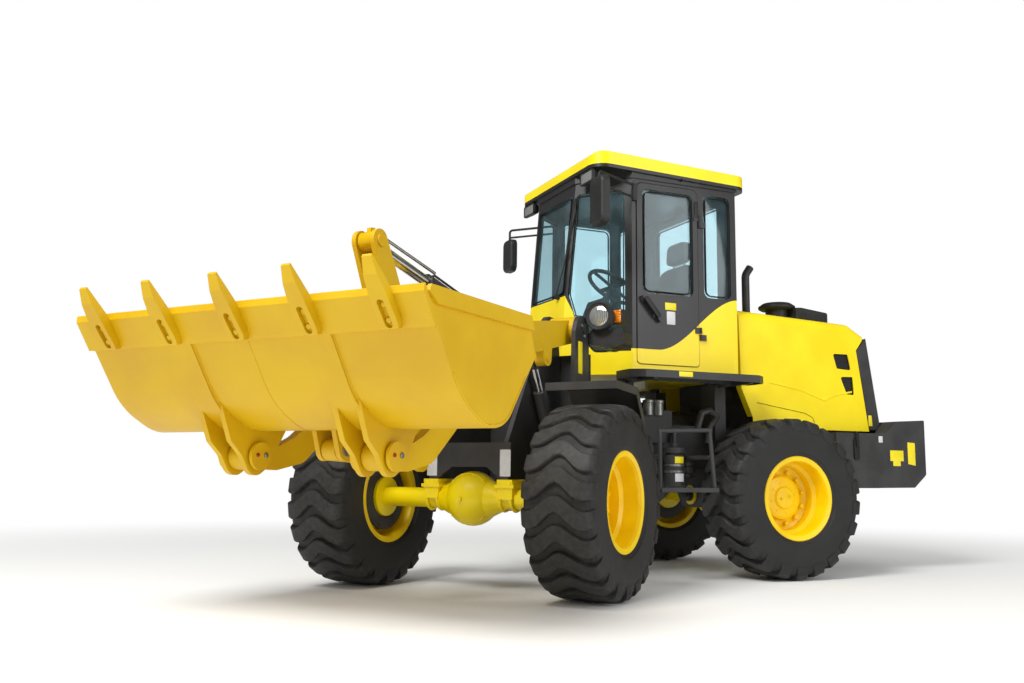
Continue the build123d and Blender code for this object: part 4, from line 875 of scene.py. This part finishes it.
def buildEye(settings):
    bm = bmesh.new()
    x, y = settings["place"]
    points = []
    for k in range(20):
        angle = math.tau * k / 20
        points.append((x, y + settings["ring"] * math.cos(angle),
                       settings["centre"] + settings["ring"] * math.sin(angle)))
    addTube(bm, points, settings["bar"], 8, closed=True)
    boss = [(0, 0), (0, 24), (24, 24), (28, 12), (32, 11), (32, 0)]
    addTurned(bm, boss, (x, y, settings["foot"]), (0, 0, 1), 16)
    return finishPiece("liftingEye", bm, rearPlace, "yellowEnamel", "chassis")


workLamp = {
    "places": (474, -474), "y": -52, "z": 2700, "width": 178, "height": 88, "depth": 58,
    # how far the back, the bezel's inside and the lens draw in from the front outline
    "back": (26, 18, 10), "bezel": 9, "lens": 11, "lensThick": 5, "lensSet": 3,
    "sunk": 10, "rim": 22, "deep": 58, "lug": {"half": 9, "y": (34, 52), "z": (-12, 4)},
}


def buildWorkLamps(settings):
    housing, lens = bmesh.new(), bmesh.new()
    half, tall = settings["width"] / 2, settings["height"] / 2
    z, near = settings["z"], settings["y"] - settings["depth"] / 2
    waist, under, over = settings["back"]
    bezel, inset, lug = settings["bezel"], settings["lens"], settings["lug"]
    for x in settings["places"]:
        front = roundedRect(x - half, x + half, z - tall, z + tall, 16)
        back = roundedRect(x - half + waist, x + half - waist, z - tall + under, z + tall - over, 14)
        inner = roundedRect(x - half + bezel, x + half - bezel, z - tall + bezel, z + tall - bezel, 11)
        loops = []
        for points, depth in ((inner, settings["sunk"]), (inner, 0), (front, 0), (front, settings["rim"]),
                              (back, settings["deep"])):
            loops.append([housing.verts.new((u, near + depth, v)) for u, v in points])
        for one, other in zip(loops, loops[1:]):
            bridge(housing, one, other)
        housing.faces.new(loops[0])
        housing.faces.new(list(reversed(loops[-1])))
        addBox(housing, (x - lug["half"], x + lug["half"]), [near + y for y in lug["y"]],
               [z + tall + rise for rise in lug["z"]])
        glass = roundedRect(x - half + inset, x + half - inset, z - tall + inset, z + tall - inset, 9)
        addPrism(lens, glass, 0, settings["lensThick"],
                 lambda u, v, w: (u, near + settings["lensSet"] + w, v))
    made = finishPiece("workLampHousings", housing, rearPlace, "mouldedAbs", "chassis",
                       bevel=1.5)
    finishPiece("workLampLenses", lens, rearPlace, "pressedGlass", "chassis", bevel=1.2)
    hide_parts("roof_lamps")


buildEye(liftingEye)
buildWorkLamps(workLamp)
print("cab fittings made")

# headlamps: rings, lenses and side signals
headlamp = {
    "x": 582, "z": 1665, "face": -742,
    "ring": ((-2, 63), (-4, 84), (4, 92), (14, 93), (22, 91), (22, 84), (4, 64)),
    "lens": ((-16, 0), (-14, 26), (-9, 50), (-2, 68), (2, 74), (4, 0)), "set": 2,
    # side signal: inner end, length, forward span, height, ribs
    "signal": {"x": 666, "long": 33, "y": (-668, -556), "low": 1632, "pitch": 15.5, "rib": 13, "ribs": 5},
    "backing": {"x": (-16, 30), "y": (-666, -558), "z": (1628, 1708)},
}


def buildHeadlamps(settings):
    ring, lens, amber = bmesh.new(), bmesh.new(), bmesh.new()
    signal, backing = settings["signal"], settings["backing"]
    for side in (1, -1):
        x, z, face = side * settings["x"], settings["z"], settings["face"]
        addTurned(ring, settings["ring"], (x, face, z), (0, 1, 0), 36, closed=True)
        addTurned(lens, settings["lens"], (x, face + settings["set"], z), (0, 1, 0), 32)
        u = side * signal["x"]
        for k in range(signal["ribs"]):
            low = signal["low"] + k * signal["pitch"]
            addBox(amber, sorted((u, u + side * signal["long"])), signal["y"], (low, low + signal["rib"]))
        addBox(amber, sorted(u + side * x for x in backing["x"]), backing["y"], backing["z"])
    finishPiece("headlampRings", ring, frontPlace, "mouldedAbs", "front")
    finishPiece("headlampLenses", lens, frontPlace, "pressedGlass", "front")
    finishPiece("sideSignals", amber, frontPlace, "amberLens", "front", bevel=2)


buildHeadlamps(headlamp)

# blank plates: finish, body, the side face they are on, outline (y, z)
plateSize = {"corner": 3, "thickness": 1.6}
plates = (
    ("doorPlateYellow", "yellowPlate", "door", 606, ((460, 1802), (548, 1802), (548, 1852), (460, 1852))),
    ("doorPlatePale", "palePlate", "door", 606, ((473, 1702), (540, 1702), (540, 1792), (473, 1792))),
    ("tailPlateWide", "yellowPlate", "chassis", 700,
     ((2330, 878), (2330, 800), (2356, 800), (2356, 764), (2428, 764), (2428, 800), (2458, 800),
      (2458, 878))),
    ("tailPlateTall", "yellowPlate", "chassis", 700, ((2502, 940), (2502, 780), (2574, 768), (2574, 936))),
    ("tailPlatePale", "palePlate", "chassis", 700, ((2224, 980), (2224, 934), (2262, 934), (2262, 980))),
    ("stepPlate", "yellowPlate", "chassis", 850, ((406, 1322), (512, 1322), (512, 1355), (406, 1355))),
    ("hoodPlate", "yellowPlate", "hood", 560, ((2268, 1140), (2268, 1060), (2306, 1060), (2298, 1140))),
)
for name, finish, body, plane, points in plates:
    sheet = bmesh.new()
    corners = [(u, v, plateSize["corner"]) for u, v in points]
    addPrism(sheet, roundedPoly(corners, 3), 0.0, plateSize["thickness"], sideFace(1, plane))
    finishPiece(name, sheet, rearPlace, finish, body, bevel=0.5)
print("plates made")

# wheel hardware: nuts on the disc, cap screws on the hub, brake disc behind
wheelFittings = {
    "nuts": {"count": 12, "circle": 176, "radius": 15, "from": -6, "to": 15},
    "screws": {"count": 8, "circle": 100, "radius": 10, "from": 22, "to": 31},
    "plugs": {"count": 2, "circle": 34, "radius": 9, "from": 50, "to": 57},
    "disc": ((-142, 124), (-142, 204), (-130, 204), (-130, 124)), "turn": 0.2,
}


def buildWheelFittings(body, settings):
    side = wheelSpots[body][1]
    for kind in ("nuts", "screws", "plugs"):
        look = settings[kind]
        bm = bmesh.new()
        profile = [(look["from"], look["radius"]), (look["to"] - 2, look["radius"]),
                   (look["to"], look["radius"] - 3)]
        profile = [(profile[0][0], 0), *profile, (profile[-1][0], 0)]
        addTurned(bm, profile, (0, look["circle"], 0), (1, 0, 0), 6)
        if side < 0:
            bmesh.ops.scale(bm, vec=(-1, 1, 1), verts=bm.verts)
        bmesh.ops.recalc_face_normals(bm, faces=bm.faces)
        mesh = ringOf(body + kind.title(), bm, look["count"], settings["turn"], "rimEnamel")
        mesh.transform(wheelMatrix(body))
        addPieceObject(body + kind.title(), mesh, body)
    bm = bmesh.new()
    addTurned(bm, settings["disc"], (0, 0, 0), (side, 0, 0), 48, closed=True)
    finishPiece(body + "BrakeDisc", bm, wheelMatrix(body), "castIron", body, bevel=1.5)


for body in wheelSpots:
    buildWheelFittings(body, wheelFittings)
print("wheel fittings made")

# bucket: weld beads, tooth bolts and pin keepers, from the level bucket's hinge
bucketShape = {
    "pivot": (2758, 757), "rollback": 57, "half": 960,
    "section": [(790, -92, 1), (330, -92, 400), (95, 40, 250), (45, 200, 200), (125, 450, 1), (165, 590, 1),
                (345, 622, 1)],
    "weld": 4.5, "straps": (324, 456), "blade": 651, "teeth": (-785, -392.5, 0, 392.5, 785),
    "toothBolts": (700, 766), "pocket": -132, "toothBolt": ((-2, 0), (-2, 14), (8, 14), (11, 11), (11, 0)),
    # beads: set in from the side plate's edge, and the section's stretches that they follow
    "inset": 9, "lip": 700, "sideTop": 585, "underTop": 130, "bottom": -92,
    "edgeBead": {"back": 2, "level": -98, "in": 4, "radius": 7},
}


def bucketPoint(a, b, lateral):
    turn = math.radians(bucketShape["rollback"])
    forward = bucketShape["pivot"][0] + a * math.cos(turn) - b * math.sin(turn)
    return (lateral, -forward, bucketShape["pivot"][1] + a * math.sin(turn) + b * math.cos(turn))


def buildWelds(settings):
    bm = bmesh.new()
    around = roundedPoly(settings["section"], 9)
    blade, gap, bead = settings["blade"], settings["inset"], settings["edgeBead"]
    under = [(a, b) for a, b in around if a < blade and b < settings["underTop"]]
    under.insert(0, (blade, settings["bottom"]))
    # the bead is set in forward of the back and above the floor, and both ways round the heel
    inset = [(a + (gap if b > 60 else 0), b + (gap if b < 150 else 0))
             for a, b in around if a < settings["lip"]]
    for side in (1, -1):
        corner = [bucketPoint(a, b, side * settings["half"]) for a, b in inset if b < settings["sideTop"]]
        addTube(bm, corner, settings["weld"], 6)
        for edge in settings["straps"]:
            addTube(bm, [bucketPoint(a, b, side * edge) for a, b in under], settings["weld"], 6)
    addTube(bm, [bucketPoint(a, b, 0) for a, b in under], settings["weld"] - 1.5, 6)
    edge = settings["half"] - bead["in"]
    ends = [bucketPoint(blade - bead["back"], bead["level"], x) for x in (-edge, edge)]
    addTube(bm, ends, bead["radius"], 6)
    finishPiece("bucketWelds", bm, frontPlace, "bucketEnamel", "bucket")
    bm = bmesh.new()
    down = Vector(bucketPoint(0, -1, 0)) - Vector(bucketPoint(0, 0, 0))
    for place in settings["teeth"]:
        for a in settings["toothBolts"]:
            addTurned(bm, settings["toothBolt"], bucketPoint(a, settings["pocket"], place), down, 6)
    finishPiece("toothBolts", bm, frontPlace, "bucketEnamel", "bucket")


buildWelds(bucketShape)

# a keeper bolt and a grease cap on each cover: place along the cover, radius
pinKeeper = {"outer": 495, "inner": 285, "bolt": (30, 14), "grease": (-26, 10), "rise": 6}


def buildKeepers(settings):
    bolts, greasers = bmesh.new(), bmesh.new()
    forward, height = bucketShape["pivot"]
    for side in (1, -1):
        for lateral, out in ((settings["outer"], 1), (settings["inner"], -1)):
            x = side * lateral
            for (along, radius), bm in ((settings["bolt"], bolts), (settings["grease"], greasers)):
                centre = (x, -forward + along, height + settings["rise"])
                head = [(-2, 0), (-2, radius), (6, radius), (8, radius - 3), (8, 0)]
                addTurned(bm, head, centre, (side * out, 0, 0), 6)
    finishPiece("pinBolts", bolts, frontPlace, "platedSteel", "bucket_pins")
    finishPiece("greaseCaps", greasers, frontPlace, "redLens", "bucket_pins")


buildKeepers(pinKeeper)

# front axle: U-bolts over the tube, drain plug, cover ring
axleFittings = {
    "y": -1260, "z": 537.5, "tube": 58, "seats": (214, 286), "bar": 10, "leg": 100,
    "plate": {"side": 26, "over": 20, "z": (64, 84)}, "nut": ((0, 0), (0, 18), (14, 18), (16, 15), (16, 0)),
    "ring": ((-66, 128), (-66, 148), (-58, 152), (-50, 152), (-50, 128)),
    "plug": ((-172, 0), (-172, 16), (-150, 16), (-150, 0)),
    "bolts": {"count": 12, "circle": 140, "set": 66, "head": ((0, 0), (0, 9), (-8, 9), (-8, 0))},
}


def buildAxleFittings(settings):
    bolts, cover = bmesh.new(), bmesh.new()
    y, z, reach = settings["y"], settings["z"], settings["tube"] + settings["bar"]
    plate, ring = settings["plate"], settings["bolts"]
    low, high = (z + level for level in plate["z"])
    for side in (1, -1):
        for x in settings["seats"]:
            points = [(side * x, y - reach, z + settings["leg"])]
            for k in range(13):
                angle = math.pi + math.pi * k / 12
                points.append((side * x, y + reach * math.cos(angle), z + reach * math.sin(angle)))
            points.append((side * x, y + reach, z + settings["leg"]))
            addTube(bolts, points, settings["bar"], 8)
            for along in (-reach, reach):
                addTurned(bolts, settings["nut"], (side * x, y + along, high), (0, 0, 1), 6)
        near, far = settings["seats"]
        span = sorted((side * (near - plate["side"]), side * (far + plate["side"])))
        addBox(bolts, span, (y - reach - plate["over"], y + reach + plate["over"]), (low, high))
    addTurned(cover, settings["ring"], (0, y, z), (0, 1, 0), 40, closed=True)
    addTurned(cover, settings["plug"], (0, y, z), (0, 1, 0), 6)
    for k in range(ring["count"]):
        angle = math.tau * (k + 0.5) / ring["count"]
        centre = (ring["circle"] * math.cos(angle), y - ring["set"], z + ring["circle"] * math.sin(angle))
        addTurned(cover, ring["head"], centre, (0, 1, 0), 6)
    finishPiece("axleUBolts", bolts, frontPlace, "yellowEnamel", "front")
    finishPiece("axleCover", cover, frontPlace, "yellowEnamel", "front")


buildAxleFittings(axleFittings)
print("bucket and axle fittings made")

# doors: lever handle and latch plates
doorHandle = {
    "centre": (346, 1798), "lean": (0.648, -0.762), "span": (-96, 74), "half": 17, "depth": (24, 46),
    "stalks": (-84, 60), "plane": 606,
    # pillar latch: outline (y0, y1, z0, z1, radius), plane and depth
    "latch": (706, 736, 2470, 2590, 8), "latchPlane": 602, "latchDepth": 12,
}


def buildHandle(settings):
    # grip over the lever, with a rosette under each stalk
    bm = bmesh.new()
    plane = settings["plane"]
    (y, z), (du, dv) = settings["centre"], settings["lean"]
    (low, high), half = settings["span"], settings["half"]
    corners = [(y + s * du + t * half * dv, z + s * dv - t * half * du, 14)
               for s, t in ((low, -1), (high, -1), (high, 1), (low, 1))]
    near, far = settings["depth"]
    addPrism(bm, roundedPoly(corners, 4), near, far, sideFace(1, plane))
    for s in settings["stalks"]:
        addTurned(bm, [(0, 0), (0, 24), (5, 22), (9, 15), (near, 13), (near, 0)],
                  (plane, y + s * du, z + s * dv), (1, 0, 0), 20)
    finishPiece("doorHandle", bm, rearPlace, "mouldedAbs", "door", bevel=3)
    bm = bmesh.new()
    latch = roundedRect(*settings["latch"], 3)
    addPrism(bm, latch, 0, settings["latchDepth"], sideFace(1, settings["latchPlane"]))
    addTube(bm, [(608, 604, 2728), (624, 604, 2728), (632, 592, 2738)], 7, 8)
    finishPiece("pillarLatch", bm, rearPlace, "mouldedAbs", "chassis", bevel=2)


buildHandle(doorHandle)

# hood: mesh behind the vents, seam and swage lines, rubber latches
hoodSkin = {
    "plane": 560, "skin": 6,
    "vents": ([(1947, 1589), (2089, 1591), (2116, 1473), (1982, 1479)],
              [(2011, 1419), (2130, 1424), (2139, 1287), (2068, 1291)]),
    "seam": [(1247, 1199), (1671, 1137), (1738, 1108), (1756, 1070)],
    "swage": [(1363, 1348), (1638, 1306), (1851, 1237), (1953, 1280), (2116, 1310)],
    # mesh: set in behind the skin, backing's thickness and growth past the vent, bars
    "slats": 7, "grow": 1.16, "set": 14, "backing": 3, "bar": 3.5, "barSet": 8,
    "seamRadius": 2.2, "seamProud": 0.2, "swageRadius": 7, "swageSunk": 3,
    # latches of the tail: outlines (y0, y1, z0, z1, radius) and their depths
    "tail": 700, "latches": (((1984, 2032, 806, 960, 12), (0, 12)), ((1996, 2020, 900, 1010, 8), (12, 22))),
}


def buildHoodFittings(settings):
    mesh, seams, swages = bmesh.new(), bmesh.new(), bmesh.new()
    plane = settings["plane"]
    for side in (1, -1):
        near = plane - settings["skin"] - settings["set"]
        bars = side * (near + settings["barSet"])
        for quad in settings["vents"]:
            middle = (sum(p[0] for p in quad) / 4, sum(p[1] for p in quad) / 4)
            grow = settings["grow"]
            backing = [(middle[0] + (u - middle[0]) * grow, middle[1] + (v - middle[1]) * grow)
                       for u, v in quad]
            addPrism(mesh, backing, near, near + settings["backing"], sideFace(side, 0))
            (au, av), (bu, bv), (cu, cv), (du, dv) = backing
            for k in range(1, settings["slats"]):
                share = k / settings["slats"]
                start = (bars, au + (du - au) * share, av + (dv - av) * share)
                end = (bars, bu + (cu - bu) * share, bv + (cv - bv) * share)
                addTube(mesh, [start, end], settings["bar"], 6)
        seam, swage = plane + settings["seamProud"], plane - settings["swageSunk"]
        addTube(seams, [(side * seam, u, v) for u, v in settings["seam"]], settings["seamRadius"], 6)
        addTube(swages, [(side * swage, u, v) for u, v in settings["swage"]], settings["swageRadius"], 8)
    finishPiece("hoodVentMesh", mesh, rearPlace, "mouldedAbs", "hood")
    finishPiece("hoodSeams", seams, rearPlace, "sealRubber", "hood")
    finishPiece("hoodSwages", swages, rearPlace, "yellowEnamel", "hood")
    bm = bmesh.new()
    for side in (1, -1):
        for outline, depths in settings["latches"]:
            addPrism(bm, roundedRect(*outline, 3), *depths, sideFace(side, settings["tail"]))
    finishPiece("tailLatches", bm, rearPlace, "sealRubber", "chassis", bevel=2.5)


buildHoodFittings(hoodSkin)
print("door and hood fittings made")

# hydraulic pipes clamped along the lift and tilt barrels
barrelPipes = (
    {"name": "liftPipes", "body": "lift_barrels", "base": (700, 560), "eye": (1130, 1370),
     "sides": (316, -316), "spread": 30, "drop": 50, "span": (90, 690)},
    {"name": "tiltPipes", "body": "tilt_barrel", "base": (880, 1540), "eye": (2345, 1855), "sides": (0,),
     "spread": 22, "drop": 58, "span": (110, 940)},
)
pipeSize = {"radius": 7, "clamps": (0.3, 0.75), "reach": 380, "half": 34, "ends": (-12, 10), "width": 11}
for held in barrelPipes:
    bm = bmesh.new()
    (baseForward, baseUp), (eyeForward, eyeUp) = held["base"], held["eye"]
    along = Vector((0, baseForward - eyeForward, eyeUp - baseUp)).normalized()
    across = Vector((1, 0, 0)).cross(along)
    across = across if across.z > 0 else -across
    root = Vector((0, -baseForward, baseUp))
    start, drop = held["span"][0], held["drop"]
    for x in held["sides"]:
        for spread, short in ((-1, 560), (1, 18)):
            end = held["span"][1] - short
            side = root + Vector((x + spread * held["spread"] / 2, 0, 0))
            stations = ((start, drop - 12), (start + 24, drop), (end - 24, drop), (end, drop - 14))
            addTube(bm, [side + along * a + across * b for a, b in stations], pipeSize["radius"], 8)
        for share in pipeSize["clamps"]:
            spot = root + Vector((x, 0, 0)) + along * (start + share * pipeSize["reach"])
            low, high = (drop + end for end in pipeSize["ends"])
            half = pipeSize["half"]
            block = [(-half, low), (half, low), (half, high), (-half, high)]
            addPrism(bm, block, -pipeSize["width"], pipeSize["width"],
                     lambda u, v, w: tuple(spot + across * v + Vector((u, 0, 0)) + along * w))
    finishPiece(held["name"], bm, frontPlace, "blackEnamel", held["body"])

# seat: crowned cushion, back and head rest on a moulded base
seat = {
    "cushion": {"centre": (0, 705, 1700), "half": (250, 235, 72), "tilt": 3},
    "back": {"centre": (0, 952, 1970), "half": (240, 66, 285), "tilt": -5},
    "head": {"centre": (0, 972, 2360), "half": (128, 40, 82), "tilt": -5},
    "square": 0.42,
    # base plates: half width, y span and corner radius, then z span; bellows between them
    "plates": (((178, 565, 875, 30), (1386, 1560)), ((232, 500, 925, 40), (1590, 1650))),
    "bellows": {"half": 170, "y": (575, 865), "radius": 30, "low": 1556, "pitch": 8, "thick": 10, "out": 14,
                "count": 5},
    "stalks": (-70, 70), "stalk": ((985, 2180), (972, 2330)), "stalkRadius": 7,
}


def addPillow(bm, look, square, around=40, rise=20):
    # rounded box whose faces all swell a little towards the middle
    def bent(value):
        return math.copysign(abs(value) ** square, value)
    turn = Matrix.Translation(look["centre"]) @ Matrix.Rotation(math.radians(look["tilt"]), 4, "X")
    rows = []
    for j in range(rise + 1):
        lift = -math.pi / 2 + math.pi * j / rise
        row = []
        for i in range(around if 0 < j < rise else 1):
            angle = math.tau * i / around
            level = bent(math.cos(lift))
            shape = (level * bent(math.cos(angle)), level * bent(math.sin(angle)), bent(math.sin(lift)))
            row.append(bm.verts.new(turn @ Vector([s * h for s, h in zip(shape, look["half"])])))
        rows.append(row)
    for one, other in zip(rows, rows[1:]):
        for i in range(around):
            k = (i + 1) % around
            if len(one) == 1:
                bm.faces.new((one[0], other[k], other[i]))
            elif len(other) == 1:
                bm.faces.new((one[i], one[k], other[0]))
            else:
                bm.faces.new((one[i], one[k], other[k], other[i]))


def buildSeat(settings):
    for part in ("cushion", "back", "head"):
        bm = bmesh.new()
        addPillow(bm, settings[part], settings["square"])
        piece = finishPiece("seat" + part.title(), bm, rearPlace, "grainedVinyl", "chassis",
                            sharp=80)
        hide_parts("seat")
    bm = bmesh.new()
    for (half, front, back, radius), (low, high) in settings["plates"]:
        addPrism(bm, roundedRect(-half, half, front, back, radius), low, high, upright)
    folds = settings["bellows"]
    for k in range(folds["count"]):
        out = folds["out"] if k % 2 else 0
        half, (front, back) = folds["half"] + out, folds["y"]
        low = folds["low"] + k * folds["pitch"]
        outline = roundedRect(-half, half, front - out, back + out, folds["radius"])
        addPrism(bm, outline, low, low + folds["thick"], upright)
    for x in settings["stalks"]:
        addTube(bm, [(x, *end) for end in settings["stalk"]], settings["stalkRadius"], 8)
    base = finishPiece("seatBase", bm, rearPlace, "mouldedAbs", "chassis", bevel=3)
    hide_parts("seat")


buildSeat(seat)
print("seat made")

# filters, pots and pipes behind the ladder, blank plates on the front frame
serviceBay = {
    "canister": (560, 548, 68, 600, 826), "cap": 900, "band": (700, 742),
    "pots": ((520, 372), (520, 452)), "potRadius": 34, "potSpan": (1085, 1190),
    "pipe": ((620, 700, 1000), (620, 734, 1104), (620, 800, 1124), (620, 852, 1081), (620, 800, 1010),
             (620, 784, 900)),
    # label and plate wrapped on the canister: start angle and z span
    "label": (-0.5, 640, 694), "plate": (-0.5, 762, 806),
}


def buildServiceBay(settings):
    dark, pale, plates, pots, label = (bmesh.new() for k in range(5))
    x, y, radius, low, high = settings["canister"]
    profile = [(low, 0), (low, radius - 14), (low + 14, radius), (high - 16, radius), (high, radius - 12),
               (high + 6, radius - 12), (high + 6, radius + 6), (high + 40, radius + 6), (high + 48, 26),
               (settings["cap"], 26), (settings["cap"], 0)]
    addTurned(dark, profile, (x, y, 0), (0, 0, 1), 28)
    addTube(dark, settings["pipe"], 22, 12)
    addTube(dark, [(x, y, settings["cap"] - 4), (x, y, 960), (x, y + 60, 990), (x, y + 160, 990)], 16, 10)
    for band in settings["band"]:
        hoop = [(band, radius + 0.4), (band, radius + 3), (band + 14, radius + 3), (band + 14, radius + 0.4)]
        addTurned(pale, hoop, (x, y, 0), (0, 0, 1), 28, closed=True)
    for bm, (start, low, high) in ((label, settings["label"]), (plates, settings["plate"])):
        outline = []
        for out in (radius + 2.4, radius + 0.3):
            sweep = range(9) if out > radius + 1 else range(8, -1, -1)
            outline += [(x + out * math.cos(start + k / 8), y + out * math.sin(start + k / 8)) for k in sweep]
        addPrism(bm, outline, low, high, upright)
    for place in settings["pots"]:
        low, high = settings["potSpan"]
        out = settings["potRadius"]
        profile = [(low, 0), (low, out), (high - 26, out), (high - 22, out + 5), (high - 6, out + 5),
                   (high, out - 6), (high, 0)]
        addTurned(pots, profile, (*place, 0), (0, 0, 1), 24)
    finishPiece("filterCanister", dark, rearPlace, "blackEnamel", "chassis")
    finishPiece("canisterBands", pale, rearPlace, "platedSteel", "chassis")
    finishPiece("brakePots", pots, rearPlace, "platedSteel", "chassis")
    finishPiece("canisterLabel", label, rearPlace, "palePlate", "chassis")
    finishPiece("canisterPlate", plates, rearPlace, "yellowPlate", "chassis")


buildServiceBay(serviceBay)

# plates and bolts on the front frame, as (forward, z); the cross plates face forward
towerPlates = {
    "lateral": 488, "strip": (786, 846, 1300, 1500), "thickness": 2, "corner": 5,
    "cross": (214, 284, 668, 822), "crossPlane": -1330,
    "rings": ((758, 1585), (700, 560)), "circle": 42, "angles": (0.6, 2.7, 4.8),
    "bolt": ((-2, 0), (-2, 12), (7, 12), (9, 9), (9, 0)),
}


def buildTowerPlates(settings):
    strip, pale, bolts = bmesh.new(), bmesh.new(), bmesh.new()
    near, far, bottom, top = settings["strip"]
    left, right, foot, head = settings["cross"]
    corner, thick, lateral = settings["corner"], settings["thickness"], settings["lateral"]
    for side in (1, -1):
        outline = roundedRect(-far, -near, bottom, top, corner, 3)
        addPrism(strip, outline, 0, thick, sideFace(side, lateral))
        outline = roundedRect(*sorted((side * left, side * right)), foot, head, corner, 3)
        addPrism(pale, outline, 0, thick, lambda u, v, w: (u, settings["crossPlane"] - w, v))
        for forward, z in settings["rings"]:
            for angle in settings["angles"]:
                centre = (side * lateral, -forward + settings["circle"] * math.cos(angle),
                          z + settings["circle"] * math.sin(angle))
                addTurned(bolts, settings["bolt"], centre, (side, 0, 0), 6)
    finishPiece("crossPlates", pale, frontPlace, "palePlate", "front", bevel=0.6)
    finishPiece("towerPlates", strip, frontPlace, "yellowPlate", "front", bevel=0.6)
    finishPiece("towerBolts", bolts, frontPlace, "platedSteel", "front")


buildTowerPlates(towerPlates)

# ribs on both sides of the air intake on the hood
intakeRibs = {"start": 1780, "pitch": 24, "width": 10, "count": 11, "z": (1850, 1908),
              "place": 250, "half": 150, "proud": 3}


def buildIntakeRibs(settings):
    bm = bmesh.new()
    for k in range(settings["count"]):
        y = settings["start"] + k * settings["pitch"]
        for side in (1, -1):
            face = settings["place"] + side * settings["half"]
            across = sorted((face, face + side * settings["proud"]))
            addBox(bm, across, (y, y + settings["width"]), settings["z"])
    finishPiece("intakeRibs", bm, rearPlace, "mouldedAbs", "hood", bevel=1)


buildIntakeRibs(intakeRibs)
print("service bay made")
